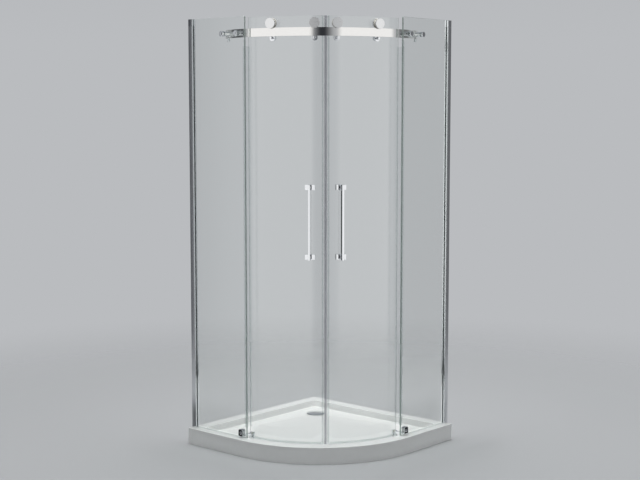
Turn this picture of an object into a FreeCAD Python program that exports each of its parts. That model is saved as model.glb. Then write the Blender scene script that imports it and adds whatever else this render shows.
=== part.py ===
"""Quadrant shower cabin: a corner tray with a bowed front, two fixed glass panels held in wall
profiles, and two curved glass doors that hang by rollers from a bowed rail.

Frame: millimetres, +Z up, origin on the floor at the middle of the tray's square footprint.
The walls stand at -X (left) and +Y (back). The bow faces +X -Y, and the two doors meet on that diagonal.
"""
import FreeCAD
import Part
import Sketcher
import math
import operator
import os
from types import SimpleNamespace

SIZES = {
    # Tray: an acrylic shell with a flat rim, a drafted recess and a floor that falls to the waste.
    "tray_side": 900,
    "bow_radius": 550,
    "tray_height": 78,
    "tray_wall": 5,
    "rim_width": 58,
    "rim_round": 4,
    "recess_depth": 31,
    "recess_draft": 10,
    "recess_corner": 24,
    "floor_round": 8,
    "floor_ledge": 4,
    "floor_fall": 5,
    "fall_share": 0.25,
    # Board and feet under the tray.
    "board_thickness": 12,
    "board_inset": 70,
    "board_hole": 64,
    "foot_inset": 120,
    "foot_middle": 60,
    "stud_radius": 5,
    "stud_fit": 0.05,
    "stud_headroom": 2,
    "pad_radius": 22,
    "pad_neck": 10,
    "pad_edge": 4,
    "pad_height": 9,
    "pad_sole": 3,
    "nut_radius": 9.8,
    "nut_height": 8,
    # Waste: flange, threaded cup with a vertical outlet, seals, backnut, strainer and lift-off cover.
    "drain_inset": 165,
    "seat_radius": 52,
    "seat_depth": 3,
    "flange_margin": 1,
    "waste_radius": 42,
    "waste_wall": 2.5,
    "waste_clearance": 2,
    "outlet_radius": 20,
    "outlet_length": 12,
    "waste_seal": 1,
    "seal_clearance": 0.3,
    "backnut_radius": 60,
    "backnut_height": 9,
    "strainer_fit": 0.3,
    "strainer_plate": 2,
    "strainer_drop": 8,
    "strainer_holes": 8,
    "strainer_hole": 5,
    "strainer_ring": 24,
    "cover_radius": 49,
    "cover_edge": 1.2,
    "cover_dome": 3.3,
    "cover_gap": 1.5,
    "cover_stem": 5,
    # Wall profiles: a channel screwed to the wall, a glazed channel that slides in it, and a cap.
    "enclosure_height": 1934,
    "glass_inset": 38,
    "glass_thickness": 8,
    "channel_width": 24,
    "channel_depth": 22,
    "channel_wall": 1.5,
    "channel_fit": 0.4,
    "leg_start": 5,
    "face_depth": 4,
    "slot_depth": 12,
    "gasket_side": 1.5,
    "gasket_base": 2,
    "cap_height": 32,
    "cap_overhang": 0.5,
    "cap_clearance": 0.3,
    "wall_hole": 3,
    "wall_hole_end": 111,
    "channel_screw": 2,
    "channel_screw_head": 4.5,
    "channel_screw_rise": 2.2,
    "channel_screw_reach": 9,
    "channel_screw_low": 215,
    "channel_screw_high": 125,
    "screw_fit": 0.05,
    # Fixed panels with the strips on their foot and on their free edge.
    "panel_lap": 8,
    "panel_lift": 3,
    "edge_seal_wrap": 7,
    "edge_seal_wall": 1.5,
    "edge_seal_nose": 2.5,
    "edge_seal_end": 12,
    # Rail: a flat polished bar on stand-offs, with stop pins under its ends.
    "rail_thickness": 10,
    "rail_height": 38,
    "rail_drop": 55,
    "rail_to_panel": 14,
    "rail_overrun_angle": 18,
    "standoff_near": 42,
    "standoff_end": 21,
    "standoff_radius": 11,
    "standoff_cap": 12.5,
    "standoff_cap_rise": 10,
    "standoff_screw": 4,
    "standoff_head": 8.5,
    "standoff_head_rise": 4,
    "standoff_bite": 7,
    "washer": 1,
    "washer_radius": 12,
    "bolt_clearance": 0.2,
    "glass_hole_margin": 3,
    "saddle_gap": 0.1,
    "cap_bevel": 1,
    "stop_pin": 4,
    "stop_head": 6,
    "stop_head_rise": 2.5,
    "stop_length": 15,
    "stop_root": 6,
    "stop_sleeve": 2.5,
    "stop_play": 0.5,
    # Doors: curved panes with a magnetic strip in front, a fin behind and a wiper below.
    "rail_to_door": 10,
    "door_rear_angle": 46.2,
    "door_sink": 2,
    "door_top_drop": 3,
    "door_travel_angle": 30,
    "meeting_gap": 0.25,
    "front_seal_width": 9.5,
    "seal_wrap": 7.5,
    "seal_wall": 1.5,
    "seal_fit": 0.3,
    "front_seal_drop": 4,
    "wiper_thickness": 2,
    "wiper_base": 1.5,
    "wiper_drop": 10,
    "fin_thickness": 2,
    "fin_reach": 30,
    "fin_low": 49,
    "fin_high": 40,
    # Rollers: grooved wheels on axles through the glass, with anti-lift pins under the rail.
    "wheel_front_angle": 5.9,
    "wheel_rear_angle": 29.3,
    "wheel_running": 19,
    "wheel_flange": 23,
    "wheel_gap": 0.4,
    "groove_clearance": 0.6,
    "flange_inside": 3.4,
    "flange_outside": 5.4,
    "axle_radius": 6,
    "axle_fit": 0.05,
    "axle_collar": 11,
    "axle_play": 0.3,
    "axle_hole_margin": 2,
    "roller_cap": 23.5,
    "roller_cap_thickness": 4,
    "roller_cap_skin": 1,
    "cap_play": 0.4,
    "door_washer": 0.8,
    "washer_seat": 0.25,
    "nut_cap_radius": 14,
    "nut_cap_depth": 11,
    "nut_cap_skin": 4,
    "lift_pin": 6,
    "lift_pin_gap": 1,
    "lift_pin_reach": 3,
    "lift_disc": 14,
    "lift_disc_gap": 2,
    "lift_shank": 4.5,
    "lift_cap_radius": 10,
    # Handles: flat bars on plates outside the glass, bolted to backing plates inside it.
    "handle_angle": 8.45,
    "handle_foot": 922,
    "handle_length": 339,
    "handle_plate_width": 46,
    "handle_plate_height": 25,
    "handle_plate": 6,
    "handle_post": 12,
    "handle_reach": 21,
    "handle_bar": 10,
    "handle_bar_depth": 25,
    "handle_pad": 1,
    "handle_bolt": 4,
    "handle_bolt_bite": 12,
    "handle_bolt_head": 6.5,
    "handle_bolt_rise": 3.5,
    # Bottom guides: clamps on the fixed glass with a hook that straddles the door.
    "guide_length": 28,
    "guide_back": 18,
    "guide_height": 34,
    "guide_lift": 6,
    "guide_round": 8,
    "guide_plate": 8,
    "guide_bolt": 4,
    "guide_bolt_head": 6.5,
    "guide_bolt_rise": 3,
    "guide_arm_rise": 11,
    "guide_arm_width": 12,
    "hook_half_width": 5,
    "hook_margin": 2,
    "hook_rise": 15,
    "hook_plate_half_width": 12,
    "hook_plate_height": 17,
    "hook_wall": 5,
    "hook_bridge": 6,
    "hook_clearance": 2,
    "hook_gap": 3.5,
    "slider_radius": 4.5,
    "slider_gap": 0.5,
    "slider_bevel": 1,
}
DEGREES = 180 / math.pi
DIAGONAL = -45
MARGIN = 1
SIDES = ("left", "right")

doc = FreeCAD.newDocument("shower_cabin")
sheet = doc.addObject("Spreadsheet::Sheet", "Sizes")
for row, (alias, number) in enumerate(SIZES.items(), 1):
    sheet.set(f"A{row}", alias)
    sheet.set(f"B{row}", str(number))
    sheet.setAlias(f"B{row}", alias)
doc.recompute()


# Sizes that carry their sheet expression

def as_size(item):
    return item if isinstance(item, Size) else Size(f"({float(item)!r})", float(item))


def joined_by(sign, reckon):
    """The two methods, plain and reflected, that join sizes with one arithmetic sign."""
    def join(left, right):
        left, right = as_size(left), as_size(right)
        return Size(f"({left.text} {sign} {right.text})", reckon(left.number, right.number))
    return join, lambda right, left: join(left, right)


class Size:
    """A number with the sheet expression that gives it, so that sums of sizes stay tied to the sheet."""

    def __init__(self, text, number):
        self.text = text
        self.number = number

    __add__, __radd__ = joined_by("+", operator.add)
    __sub__, __rsub__ = joined_by("-", operator.sub)
    __mul__, __rmul__ = joined_by("*", operator.mul)
    __truediv__, __rtruediv__ = joined_by("/", operator.truediv)

    def __neg__(self):
        return 0 - self


def sine(angle):
    angle = as_size(angle)
    return Size(f"sin({angle.text})", math.sin(math.radians(angle.number)))


def cosine(angle):
    angle = as_size(angle)
    return Size(f"cos({angle.text})", math.cos(math.radians(angle.number)))


def root(square):
    return Size(f"sqrt({square.text})", math.sqrt(square.number))


S = SimpleNamespace(**{alias: Size(f"Sizes.{alias}", float(sheet.get(alias))) for alias in SIZES})


# Objects of the document, tied to the sheet

def bind(item, path, size):
    item.setExpression(path, as_size(size).text)


def place(item, spot):
    """Sets a placement from x, y, z and a turn about Z."""
    for path, size in zip(("Base.x", "Base.y", "Base.z", "Rotation.Angle"), spot):
        bind(item, "Placement." + path, size)


def make_body(label, spot=(0, 0, 0, 0)):
    body = doc.addObject("PartDesign::Body", "Body")
    body.Label = label
    place(body, spot)
    return body


def new_sketch(body, plane, rise):
    sketch = body.newObject("Sketcher::SketchObject", "Outline")
    origin_plane = next(item for item in body.Origin.OriginFeatures if item.Role == plane + "_Plane")
    sketch.AttachmentSupport = [(origin_plane, "")]
    sketch.MapMode = "FlatFace"
    bind(sketch, "AttachmentOffset.Base.z", rise)
    return sketch


def tie_point(sketch, edge, end, spot):
    """Ties one end of an edge to its place in the sketch."""
    for kind, size in zip(("DistanceX", "DistanceY"), spot):
        size = as_size(size)
        index = sketch.addConstraint(Sketcher.Constraint(kind, -1, 1, edge, end, size.number))
        sketch.setExpression(f"Constraints[{index}]", size.text)


def bent_edge(start, stop, radius):
    """The arc of under a half circle from start to stop, counter-clockwise."""
    middle = (start + stop) / 2
    half = stop - start
    across = FreeCAD.Vector(-half.y, half.x, 0).normalize()
    centre = middle + across * math.sqrt(radius ** 2 - (half.Length / 2) ** 2)
    first, last = (math.atan2(end.y - centre.y, end.x - centre.x) for end in (start, stop))
    return Part.ArcOfCircle(Part.Circle(centre, FreeCAD.Vector(0, 0, 1), radius), first, last)


def add_outline(sketch, points):
    """A closed outline. A third item in a point is the radius of the bent edge that follows it."""
    first_edge = sketch.GeometryCount
    ends = [FreeCAD.Vector(as_size(point[0]).number, as_size(point[1]).number, 0) for point in points]
    for start, stop, point in zip(ends, ends[1:] + ends[:1], points):
        bent = len(point) == 3
        sketch.addGeometry(bent_edge(start, stop, as_size(point[2]).number) if bent
                           else Part.LineSegment(start, stop))
    for step, point in enumerate(points):
        edge = first_edge + step
        following = first_edge + (step + 1) % len(points)
        sketch.addConstraint(Sketcher.Constraint("Coincident", edge, 2, following, 1))
        tie_point(sketch, edge, 1, point[:2])
        if len(point) == 3:
            radius = as_size(point[2])
            index = sketch.addConstraint(Sketcher.Constraint("Radius", edge, radius.number))
            sketch.setExpression(f"Constraints[{index}]", radius.text)


def add_circle(sketch, x, y, radius):
    x, y, radius = as_size(x), as_size(y), as_size(radius)
    centre = FreeCAD.Vector(x.number, y.number, 0)
    edge = sketch.addGeometry(Part.Circle(centre, FreeCAD.Vector(0, 0, 1), radius.number))
    tie_point(sketch, edge, 3, (x, y))
    index = sketch.addConstraint(Sketcher.Constraint("Radius", edge, radius.number))
    sketch.setExpression(f"Constraints[{index}]", radius.text)


def pad(body, points, start, stop):
    """Raises an outline seen from above, from one height to another."""
    sketch = new_sketch(body, "XY", start)
    add_outline(sketch, points)
    feature = body.newObject("PartDesign::Pad", "Pad")
    feature.Profile = sketch
    bind(feature, "Length", stop - start)
    return feature


def pocket(body, sketch, depth, upwards=False):
    feature = body.newObject("PartDesign::Pocket", "Pocket")
    feature.Profile = sketch
    feature.Reversed = upwards
    bind(feature, "Length", depth)
    return feature


def drill(body, plane, spots, radius):
    """Round holes square to a plane, right through the body both ways."""
    sketch = new_sketch(body, plane, 0)
    for x, y in spots:
        add_circle(sketch, x, y, radius)
    feature = body.newObject("PartDesign::Pocket", "Holes")
    feature.Profile = sketch
    feature.Type = "ThroughAll"
    feature.Midplane = True


def turned(label, points, spot, axis):
    """A turned piece: "radial" along its own X, "upright" about Z, or "crosswise" along Y."""
    body = make_body(label, spot)
    plane, line = {"radial": ("XZ", "H_Axis"), "upright": ("XZ", "V_Axis"),
                   "crosswise": ("XY", "V_Axis")}[axis]
    sketch = new_sketch(body, plane, 0)
    add_outline(sketch, points)
    feature = body.newObject("PartDesign::Revolution", "Revolution")
    feature.Profile = sketch
    feature.ReferenceAxis = (sketch, [line])
    feature.Angle = 360
    return body


def fillet(body, radius, chosen):
    """Rounds the edges that a test picks."""
    doc.recompute()
    base = body.Tip
    names = [f"Edge{number}" for number, edge in enumerate(base.Shape.Edges, 1) if chosen(edge)]
    feature = body.newObject("PartDesign::Fillet", "Fillet")
    feature.Base = (base, names)
    bind(feature, "Radius", radius)


def level_edge(height):
    """A test for edges that lie flat at one height."""
    def flat(edge):
        box = edge.BoundBox
        return max(abs(box.ZMin - height.number), abs(box.ZMax - height.number)) < 0.01
    return flat


def cylinder(radius, bottom, height, sweep=360, spot=None):
    item = doc.addObject("Part::Cylinder", "Cylinder")
    bind(item, "Radius", radius)
    bind(item, "Height", height)
    bind(item, "Angle", sweep)
    x, y, turn = spot or (bow_x, bow_y, 0)
    place(item, (x, y, bottom, turn))
    return item


def combined(kind, label, base, tool):
    """Part::Cut or Part::Common of two objects."""
    item = doc.addObject(kind, "Result")
    item.Base = base
    item.Tool = tool
    item.Label = label
    return item


def compound(label, items):
    item = doc.addObject("Part::Compound", "Group")
    item.Links = items
    item.Label = label
    return item


def fused(label, items):
    item = doc.addObject("Part::MultiFuse", "Fusion")
    item.Shapes = items
    item.Label = label
    return item


# Places that the pieces share

half_side = S.tray_side / 2
bow_x = half_side - S.bow_radius
bow_y = -bow_x
wall_to_bow = S.tray_side - S.bow_radius
floor_z = S.tray_height - S.recess_depth
drain_z = floor_z - S.floor_fall
seat_z = drain_z - S.seat_depth
under_z = seat_z - S.tray_wall
top_z = S.tray_height + S.enclosure_height
profile_top = top_z - S.cap_height
drain_x = S.drain_inset - half_side
drain_y = -drain_x

half_glass = S.glass_thickness / 2
panel_mid = S.bow_radius - S.glass_inset
panel_edge = wall_to_bow + S.panel_lap
panel_foot = S.tray_height + S.panel_lift
slot_floor = S.channel_depth + S.face_depth - S.slot_depth
panel_start = slot_floor + S.gasket_base

rail_outer = panel_mid - half_glass - S.rail_to_panel
rail_radius = rail_outer - S.rail_thickness / 2
rail_inner = rail_outer - S.rail_thickness
rail_top = top_z - S.rail_drop
rail_foot = rail_top - S.rail_height
rail_middle = rail_top - S.rail_height / 2
rail_end = 45 + S.rail_overrun_angle
standoff_far = rail_radius * sine(S.rail_overrun_angle - S.standoff_end / rail_radius * DEGREES)

pane_outer = rail_inner - S.rail_to_door
pane_inner = pane_outer - S.glass_thickness
pane_middle = pane_outer - half_glass
pane_foot = S.tray_height - S.door_sink
pane_top = top_z - S.door_top_drop
pane_front = S.front_seal_width / pane_middle * DEGREES
axle_z = rail_top + S.wheel_gap + S.wheel_running
lift_z = rail_foot - S.lift_pin_gap - S.lift_pin
lift_end = rail_outer + S.lift_pin_reach
outer_seat = pane_outer + S.handle_pad
inner_seat = pane_inner - S.handle_pad
backplate_face = inner_seat - S.handle_plate
handle_bolt_heights = [S.handle_foot + S.handle_plate_height / 2,
                       S.handle_foot + S.handle_length - S.handle_plate_height / 2]

guide_foot = S.tray_height + S.guide_lift
guide_top = guide_foot + S.guide_height
guide_end = panel_edge - S.guide_back
guide_start = guide_end - S.guide_length
guide_bolt_spot = (guide_end - S.guide_length / 2, guide_foot + S.guide_height / 2)
hook_top = guide_foot + S.hook_rise
guide_angle = S.door_rear_angle - (S.hook_half_width + S.hook_margin) / pane_middle * DEGREES
stop_angle = (S.wheel_rear_angle + S.door_travel_angle
              + (S.lift_pin + S.stop_pin + S.stop_sleeve + S.stop_play) / rail_radius * DEGREES)


def inward(side):
    """Which way along its own Y a panel faces the cabin: the right panel is the left one mirrored."""
    return 1 if side == "left" else -1


def panel_spot(side, along=0, height=0):
    """A place on a fixed panel's middle plane, at a distance from its wall."""
    if side == "left":
        return along - half_side, S.glass_inset - half_side, height, 0
    return half_side - S.glass_inset, half_side - along, height, -90


def door_turn(side, angle):
    """The polar angle about the bow's axis of an angle counted from the diagonal."""
    return DIAGONAL - angle if side == "left" else DIAGONAL + angle


def door_spot(side, angle, height=0):
    return bow_x, bow_y, height, door_turn(side, angle)


def rectangle(x_low, x_high, y_low, y_high):
    return [(x_low, y_low), (x_high, y_low), (x_high, y_high), (x_low, y_high)]


def handed(side, points):
    """An outline on a panel drawn for the left side, mirrored for the right."""
    if side == "left":
        return points
    return [(x, -y) for x, y in reversed(points)]


def quadrant(inset):
    """The tray's outline, moved in from its edge."""
    half = half_side - inset
    return [(-half, half), (-half, -half), (bow_x, -half, S.bow_radius - inset), (half, bow_y), (half, half)]


def rounded_quadrant(inset, corner):
    half = half_side - inset
    return [(corner - half, half, corner), (-half, half - corner),
            (-half, corner - half, corner), (corner - half, -half),
            (bow_x, -half, S.bow_radius - inset), (half, bow_y),
            (half, half - corner, corner), (half - corner, half)]


def towards_drain(points, share):
    """An outline drawn in towards the middle of the waste."""
    drawn = []
    for point in points:
        x = drain_x + (point[0] - drain_x) * share
        y = drain_y + (point[1] - drain_y) * share
        drawn.append((x, y, *(radius * share for radius in point[2:])))
    return drawn


def hexagon(radius):
    return [(radius * cosine(turn), radius * sine(turn)) for turn in range(0, 360, 60)]


def sector(side, inner, outer, bottom, top, near, far):
    """A slice of a ring about the bow's axis, between two angles counted from the diagonal."""
    first = door_turn(side, far if side == "left" else near)
    whole = cylinder(outer, bottom, top - bottom, far - near, (bow_x, bow_y, first))
    core = cylinder(inner, bottom - MARGIN, top - bottom + 2 * MARGIN)
    return combined("Part::Cut", "sector", whole, core)


# Tray, board and feet

def shower_tray():
    body = make_body("shower_tray")
    pad(body, quadrant(0), as_size(0), S.tray_height)
    recess = new_sketch(body, "XY", S.tray_height)
    add_outline(recess, rounded_quadrant(S.rim_width, S.recess_corner))
    feature = pocket(body, recess, S.recess_depth)
    feature.setExpression("TaperAngle", f"-atan({(S.recess_draft / S.recess_depth).text})")
    fillet(body, S.floor_round, level_edge(floor_z))
    fillet(body, S.rim_round, level_edge(S.tray_height))
    ledge = quadrant(S.rim_width + S.recess_draft + S.floor_round + S.floor_ledge)
    brim, basin = new_sketch(body, "XY", floor_z), new_sketch(body, "XY", drain_z)
    add_outline(brim, ledge)
    add_outline(basin, towards_drain(ledge, S.fall_share))
    fall = body.newObject("PartDesign::SubtractiveLoft", "Fall")
    fall.Profile = brim
    fall.Sections = [basin]
    fall.Ruled = True
    seat = new_sketch(body, "XY", floor_z)
    add_circle(seat, drain_x, drain_y, S.seat_radius)
    pocket(body, seat, floor_z - seat_z)
    drill(body, "XY", [(drain_x, drain_y)], S.waste_radius + S.waste_clearance)
    underside = new_sketch(body, "XY", 0)
    add_outline(underside, quadrant(S.tray_wall))
    pocket(body, underside, under_z, upwards=True)
    hollow_rim = new_sketch(body, "XY", 0)
    add_outline(hollow_rim, quadrant(S.tray_wall))
    add_outline(hollow_rim, quadrant(S.rim_width - S.tray_wall))
    pocket(body, hollow_rim, S.tray_height - S.tray_wall, upwards=True)
    return body


def foot_spots():
    far = half_side - S.foot_inset
    front = bow_x + (S.bow_radius - S.foot_inset) * cosine(45)
    return [(-far, -far), (far, far), (-far, S.foot_middle), (-S.foot_middle, far), (front, -front)]


def tray_base_board():
    body = make_body("tray_base_board")
    pad(body, quadrant(S.board_inset), under_z - S.board_thickness, under_z)
    drill(body, "XY", [(drain_x, drain_y)], S.board_hole)
    drill(body, "XY", foot_spots(), S.stud_radius + S.bolt_clearance)
    return body


def tray_feet():
    """Threaded studs, the nuts that lock them under the board, and the pads that they stand on."""
    board_foot = under_z - S.board_thickness
    studs, nuts, pads = [], [], []
    for x, y in foot_spots():
        spot = (x, y, 0, 0)
        studs.append(turned("stud", [(0, S.pad_sole), (S.stud_radius, S.pad_sole),
                                     (S.stud_radius, under_z - S.stud_headroom),
                                     (0, under_z - S.stud_headroom)], spot, "upright"))
        nut = make_body("nut", spot)
        pad(nut, hexagon(S.nut_radius), board_foot - S.nut_height, board_foot)
        drill(nut, "XY", [(0, 0)], S.stud_radius + S.stud_fit)
        nuts.append(nut)
        bore = S.stud_radius + S.stud_fit
        pads.append(turned("pad", [(0, 0), (S.pad_radius, 0), (S.pad_radius, S.pad_edge),
                                   (S.pad_neck, S.pad_height), (bore, S.pad_height),
                                   (bore, S.pad_sole), (0, S.pad_sole)], spot, "upright"))
    return [compound("tray_foot_studs", studs), compound("tray_foot_nuts", nuts),
            compound("tray_foot_pads", pads)]


# Waste

def drain_spot():
    return drain_x, drain_y, 0, 0


def waste_body():
    bore = S.waste_radius - S.waste_wall
    outlet_bore = S.outlet_radius - S.waste_wall
    flange = S.seat_radius - S.flange_margin
    flange_z = seat_z + S.waste_seal
    cup_floor = S.outlet_length + S.waste_wall
    return turned("waste_body", [
        (bore, drain_z), (flange, drain_z), (flange, flange_z), (S.waste_radius, flange_z),
        (S.waste_radius, S.outlet_length), (S.outlet_radius, S.outlet_length), (S.outlet_radius, 0),
        (outlet_bore, 0), (outlet_bore, cup_floor), (bore, cup_floor)], drain_spot(), "upright")


def waste_gaskets():
    bore = S.waste_radius + S.seal_clearance
    rings = []
    for low, high, edge in ((seat_z, seat_z + S.waste_seal, S.seat_radius - S.flange_margin),
                            (under_z - S.waste_seal, under_z, S.backnut_radius * cosine(30))):
        rings.append(turned("ring", rectangle(bore, edge, low, high), drain_spot(), "upright"))
    return compound("waste_gaskets", rings)


def waste_backnut():
    body = make_body("waste_backnut", drain_spot())
    top = under_z - S.waste_seal
    pad(body, hexagon(S.backnut_radius), top - S.backnut_height, top)
    drill(body, "XY", [(0, 0)], S.waste_radius + S.stud_fit)
    return body


def drain_strainer():
    rim = S.waste_radius - S.waste_wall - S.strainer_fit
    foot = S.outlet_length + S.waste_wall
    plate = drain_z - S.strainer_drop
    wall = rim - S.strainer_plate
    body = turned("drain_strainer", [
        (0, plate), (rim, plate), (rim, foot), (wall, foot), (wall, plate - S.strainer_plate),
        (0, plate - S.strainer_plate)], drain_spot(), "upright")
    count = int(S.strainer_holes.number)
    turns = [step * 360 / count for step in range(count)]
    drill(body, "XY", [(S.strainer_ring * cosine(turn), S.strainer_ring * sine(turn)) for turn in turns],
          S.strainer_hole)
    return body


def drain_cover():
    edge_z = drain_z + S.cover_gap
    stem_z = drain_z - S.strainer_drop + S.strainer_fit
    crown = edge_z + S.cover_edge + S.cover_dome
    return turned("drain_cover", [
        (0, stem_z), (S.cover_stem, stem_z), (S.cover_stem, edge_z), (S.cover_radius, edge_z),
        (S.cover_radius, edge_z + S.cover_edge), (S.cover_radius * 0.6, crown - S.cover_dome * 0.36),
        (0, crown)], drain_spot(), "upright")


# Wall profiles and fixed panels

def wall_channel(side):
    half = S.channel_width / 2
    inside = half - S.channel_wall
    body = make_body(f"{side}_wall_channel", panel_spot(side))
    pad(body, [(0, -half), (S.channel_depth, -half), (S.channel_depth, -inside), (S.channel_wall, -inside),
               (S.channel_wall, inside), (S.channel_depth, inside), (S.channel_depth, half), (0, half)],
        S.tray_height, profile_top)
    low = S.tray_height + S.wall_hole_end
    spacing = (profile_top - low - S.wall_hole_end) / 3
    drill(body, "YZ", [(0, low + spacing * step) for step in range(4)], S.wall_hole)
    drill_inside(body, side)
    return body


def drill_inside(body, side):
    """Clearance holes for the adjusting screws, through the leg that faces the cabin."""
    sketch = new_sketch(body, "XZ", 0)
    for height in channel_screw_heights():
        add_circle(sketch, S.channel_screw_reach, height, S.channel_screw + S.screw_fit)
    feature = body.newObject("PartDesign::Pocket", "Holes")
    feature.Profile = sketch
    feature.Type = "ThroughAll"
    feature.Reversed = side == "right"


def channel_screw_heights():
    low = S.tray_height + S.channel_screw_low
    high = profile_top - S.channel_screw_high
    return [low, (low + high) / 2, high]


def glass_channel(side):
    half = S.channel_width / 2
    leg = half - S.channel_wall - S.channel_fit
    leg_in = leg - S.channel_wall
    slot = half_glass + S.gasket_side
    slot_out = slot + S.channel_wall
    face = S.channel_depth + S.face_depth
    back = slot_floor - S.channel_wall
    upper = [(face, slot), (face, half), (S.channel_depth, half), (S.channel_depth, leg), (S.leg_start, leg),
             (S.leg_start, leg_in), (S.channel_depth, leg_in), (S.channel_depth, slot_out), (back, slot_out)]
    lower = [(x, -y) for x, y in reversed(upper)]
    body = make_body(f"{side}_glass_channel", panel_spot(side))
    pad(body, upper + lower + [(slot_floor, -slot), (slot_floor, slot)], S.tray_height, profile_top)
    drill_inside(body, side)
    return body


def glazing_gasket(side):
    slot = half_glass + S.gasket_side
    face = S.channel_depth + S.face_depth
    body = make_body("gasket", panel_spot(side))
    pad(body, [(slot_floor, -slot), (face, -slot), (face, -half_glass), (panel_start, -half_glass),
               (panel_start, half_glass), (face, half_glass), (face, slot), (slot_floor, slot)],
        panel_foot, profile_top)
    return body


def profile_cap(side):
    half = S.channel_width / 2 + S.cap_overhang
    face = S.channel_depth + S.face_depth + S.cap_overhang
    slot = half_glass + S.cap_clearance
    back = panel_start - S.cap_clearance
    body = make_body("cap", panel_spot(side))
    pad(body, [(0, -half), (face, -half), (face, -slot), (back, -slot), (back, slot), (face, slot),
               (face, half), (0, half)], profile_top, top_z)
    return body


def channel_screws(side):
    face = S.channel_width / 2
    tip = face - 2 * S.channel_wall - S.channel_fit - S.channel_wall
    head = face + S.channel_screw_rise
    outline = [(0, tip), (S.channel_screw, tip), (S.channel_screw, face), (S.channel_screw_head, face),
               (S.channel_screw_head, head - S.cap_bevel), (S.channel_screw_head - S.cap_bevel, head),
               (0, head)]
    return [turned("screw", handed(side, outline), panel_spot(side, S.channel_screw_reach, height),
                   "crosswise") for height in channel_screw_heights()]


def fixed_glass(side):
    body = make_body(f"{side}_fixed_glass", panel_spot(side))
    pad(body, rectangle(panel_start, panel_edge, -half_glass, half_glass), panel_foot, top_z)
    drill(body, "XZ", [(wall_to_bow - past, rail_middle) for past in (S.standoff_near, standoff_far)],
          S.standoff_screw + S.glass_hole_margin)
    drill(body, "XZ", [guide_bolt_spot], S.guide_bolt + S.glass_hole_margin)
    return body


def fixed_bottom_seal(side):
    body = make_body("strip", panel_spot(side))
    pad(body, rectangle(S.channel_depth + S.face_depth, panel_edge, -half_glass, half_glass),
        S.tray_height, panel_foot)
    return body


def fixed_edge_seal(side):
    out = half_glass + S.edge_seal_wall
    start = panel_edge - S.edge_seal_wrap
    nose = panel_edge + S.edge_seal_nose
    body = make_body("strip", panel_spot(side))
    pad(body, [(start, -out), (nose, -out), (nose, out), (start, out), (start, half_glass),
               (panel_edge, half_glass), (panel_edge, -half_glass), (start, -half_glass)],
        guide_top + S.edge_seal_end, rail_foot - S.edge_seal_end)
    return body


# Rail and what holds it

def rail_seat(past):
    """How far in from a panel's middle plane the rail's own middle lies, past the end of the bow."""
    return panel_mid - root(rail_radius * rail_radius - past * past)


def standoff_turned(label, side, past, outline):
    spot = panel_spot(side, wall_to_bow - past, rail_middle)
    return turned(label, handed(side, outline), spot, "crosswise")


def stop_spot(side):
    turn = door_turn(side, stop_angle)
    return bow_x + rail_radius * cosine(turn), bow_y + rail_radius * sine(turn), 0, 0


def top_rail():
    bar = sector("right", rail_inner, rail_outer, rail_foot, rail_top, -rail_end, rail_end)
    bore = S.standoff_screw + S.bolt_clearance
    sink = S.standoff_head + 4 * S.bolt_clearance
    tools = []
    for side in SIDES:
        for past in (S.standoff_near, standoff_far):
            seat = rail_seat(past)
            tools.append(standoff_turned("hole", side, past, [
                (0, 0), (bore, 0), (bore, seat), (sink, seat), (sink, seat + S.rail_thickness * 2),
                (0, seat + S.rail_thickness * 2)]))
        x, y, _, turn = stop_spot(side)
        tools.append(cylinder(S.stop_pin - S.cap_bevel + S.stud_fit, rail_foot - MARGIN,
                              S.stop_root + MARGIN + S.bolt_clearance, 360, (x, y, turn)))
    return combined("Part::Cut", "top_rail", bar, compound("rail_holes", tools))


def standoffs():
    """Outside caps, spacers saddled to the rail, through screws, and the washers on the glass."""
    caps, spacers, screws, washers = [], [], [], []
    bore = S.standoff_screw + S.bolt_clearance
    tapped = S.standoff_screw + S.stud_fit
    glass_out = -half_glass - S.washer
    glass_in = half_glass + S.washer
    cap_end = glass_out - S.standoff_cap_rise
    cap_side = S.standoff_cap
    for side in SIDES:
        for past in (S.standoff_near, standoff_far):
            seat = rail_seat(past)
            head = seat + S.standoff_head_rise
            bite = glass_out - S.standoff_bite
            caps.append(standoff_turned("cap", side, past, [
                (0, cap_end), (cap_side - S.cap_bevel, cap_end), (cap_side, cap_end + S.cap_bevel),
                (cap_side, glass_out), (tapped, glass_out), (tapped, bite - S.bolt_clearance),
                (0, bite - S.bolt_clearance)]))
            tube = standoff_turned("tube", side, past, rectangle(bore, S.standoff_radius, glass_in, seat))
            saddle = cylinder(rail_outer + S.saddle_gap, rail_foot, S.rail_height)
            spacers.append(combined("Part::Cut", "spacer", tube, saddle))
            screws.append(standoff_turned("screw", side, past, [
                (0, bite), (S.standoff_screw, bite), (S.standoff_screw, seat), (S.standoff_head, seat),
                (S.standoff_head, head - S.cap_bevel), (S.standoff_head - S.cap_bevel, head), (0, head)]))
            for low, high in ((glass_out, -half_glass), (half_glass, glass_in)):
                washers.append(standoff_turned("washer", side, past,
                                               rectangle(bore, S.washer_radius, low, high)))
    return [compound("rail_standoff_caps", caps), compound("rail_standoff_spacers", spacers),
            compound("rail_standoff_screws", screws), compound("rail_standoff_gaskets", washers)]


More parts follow.
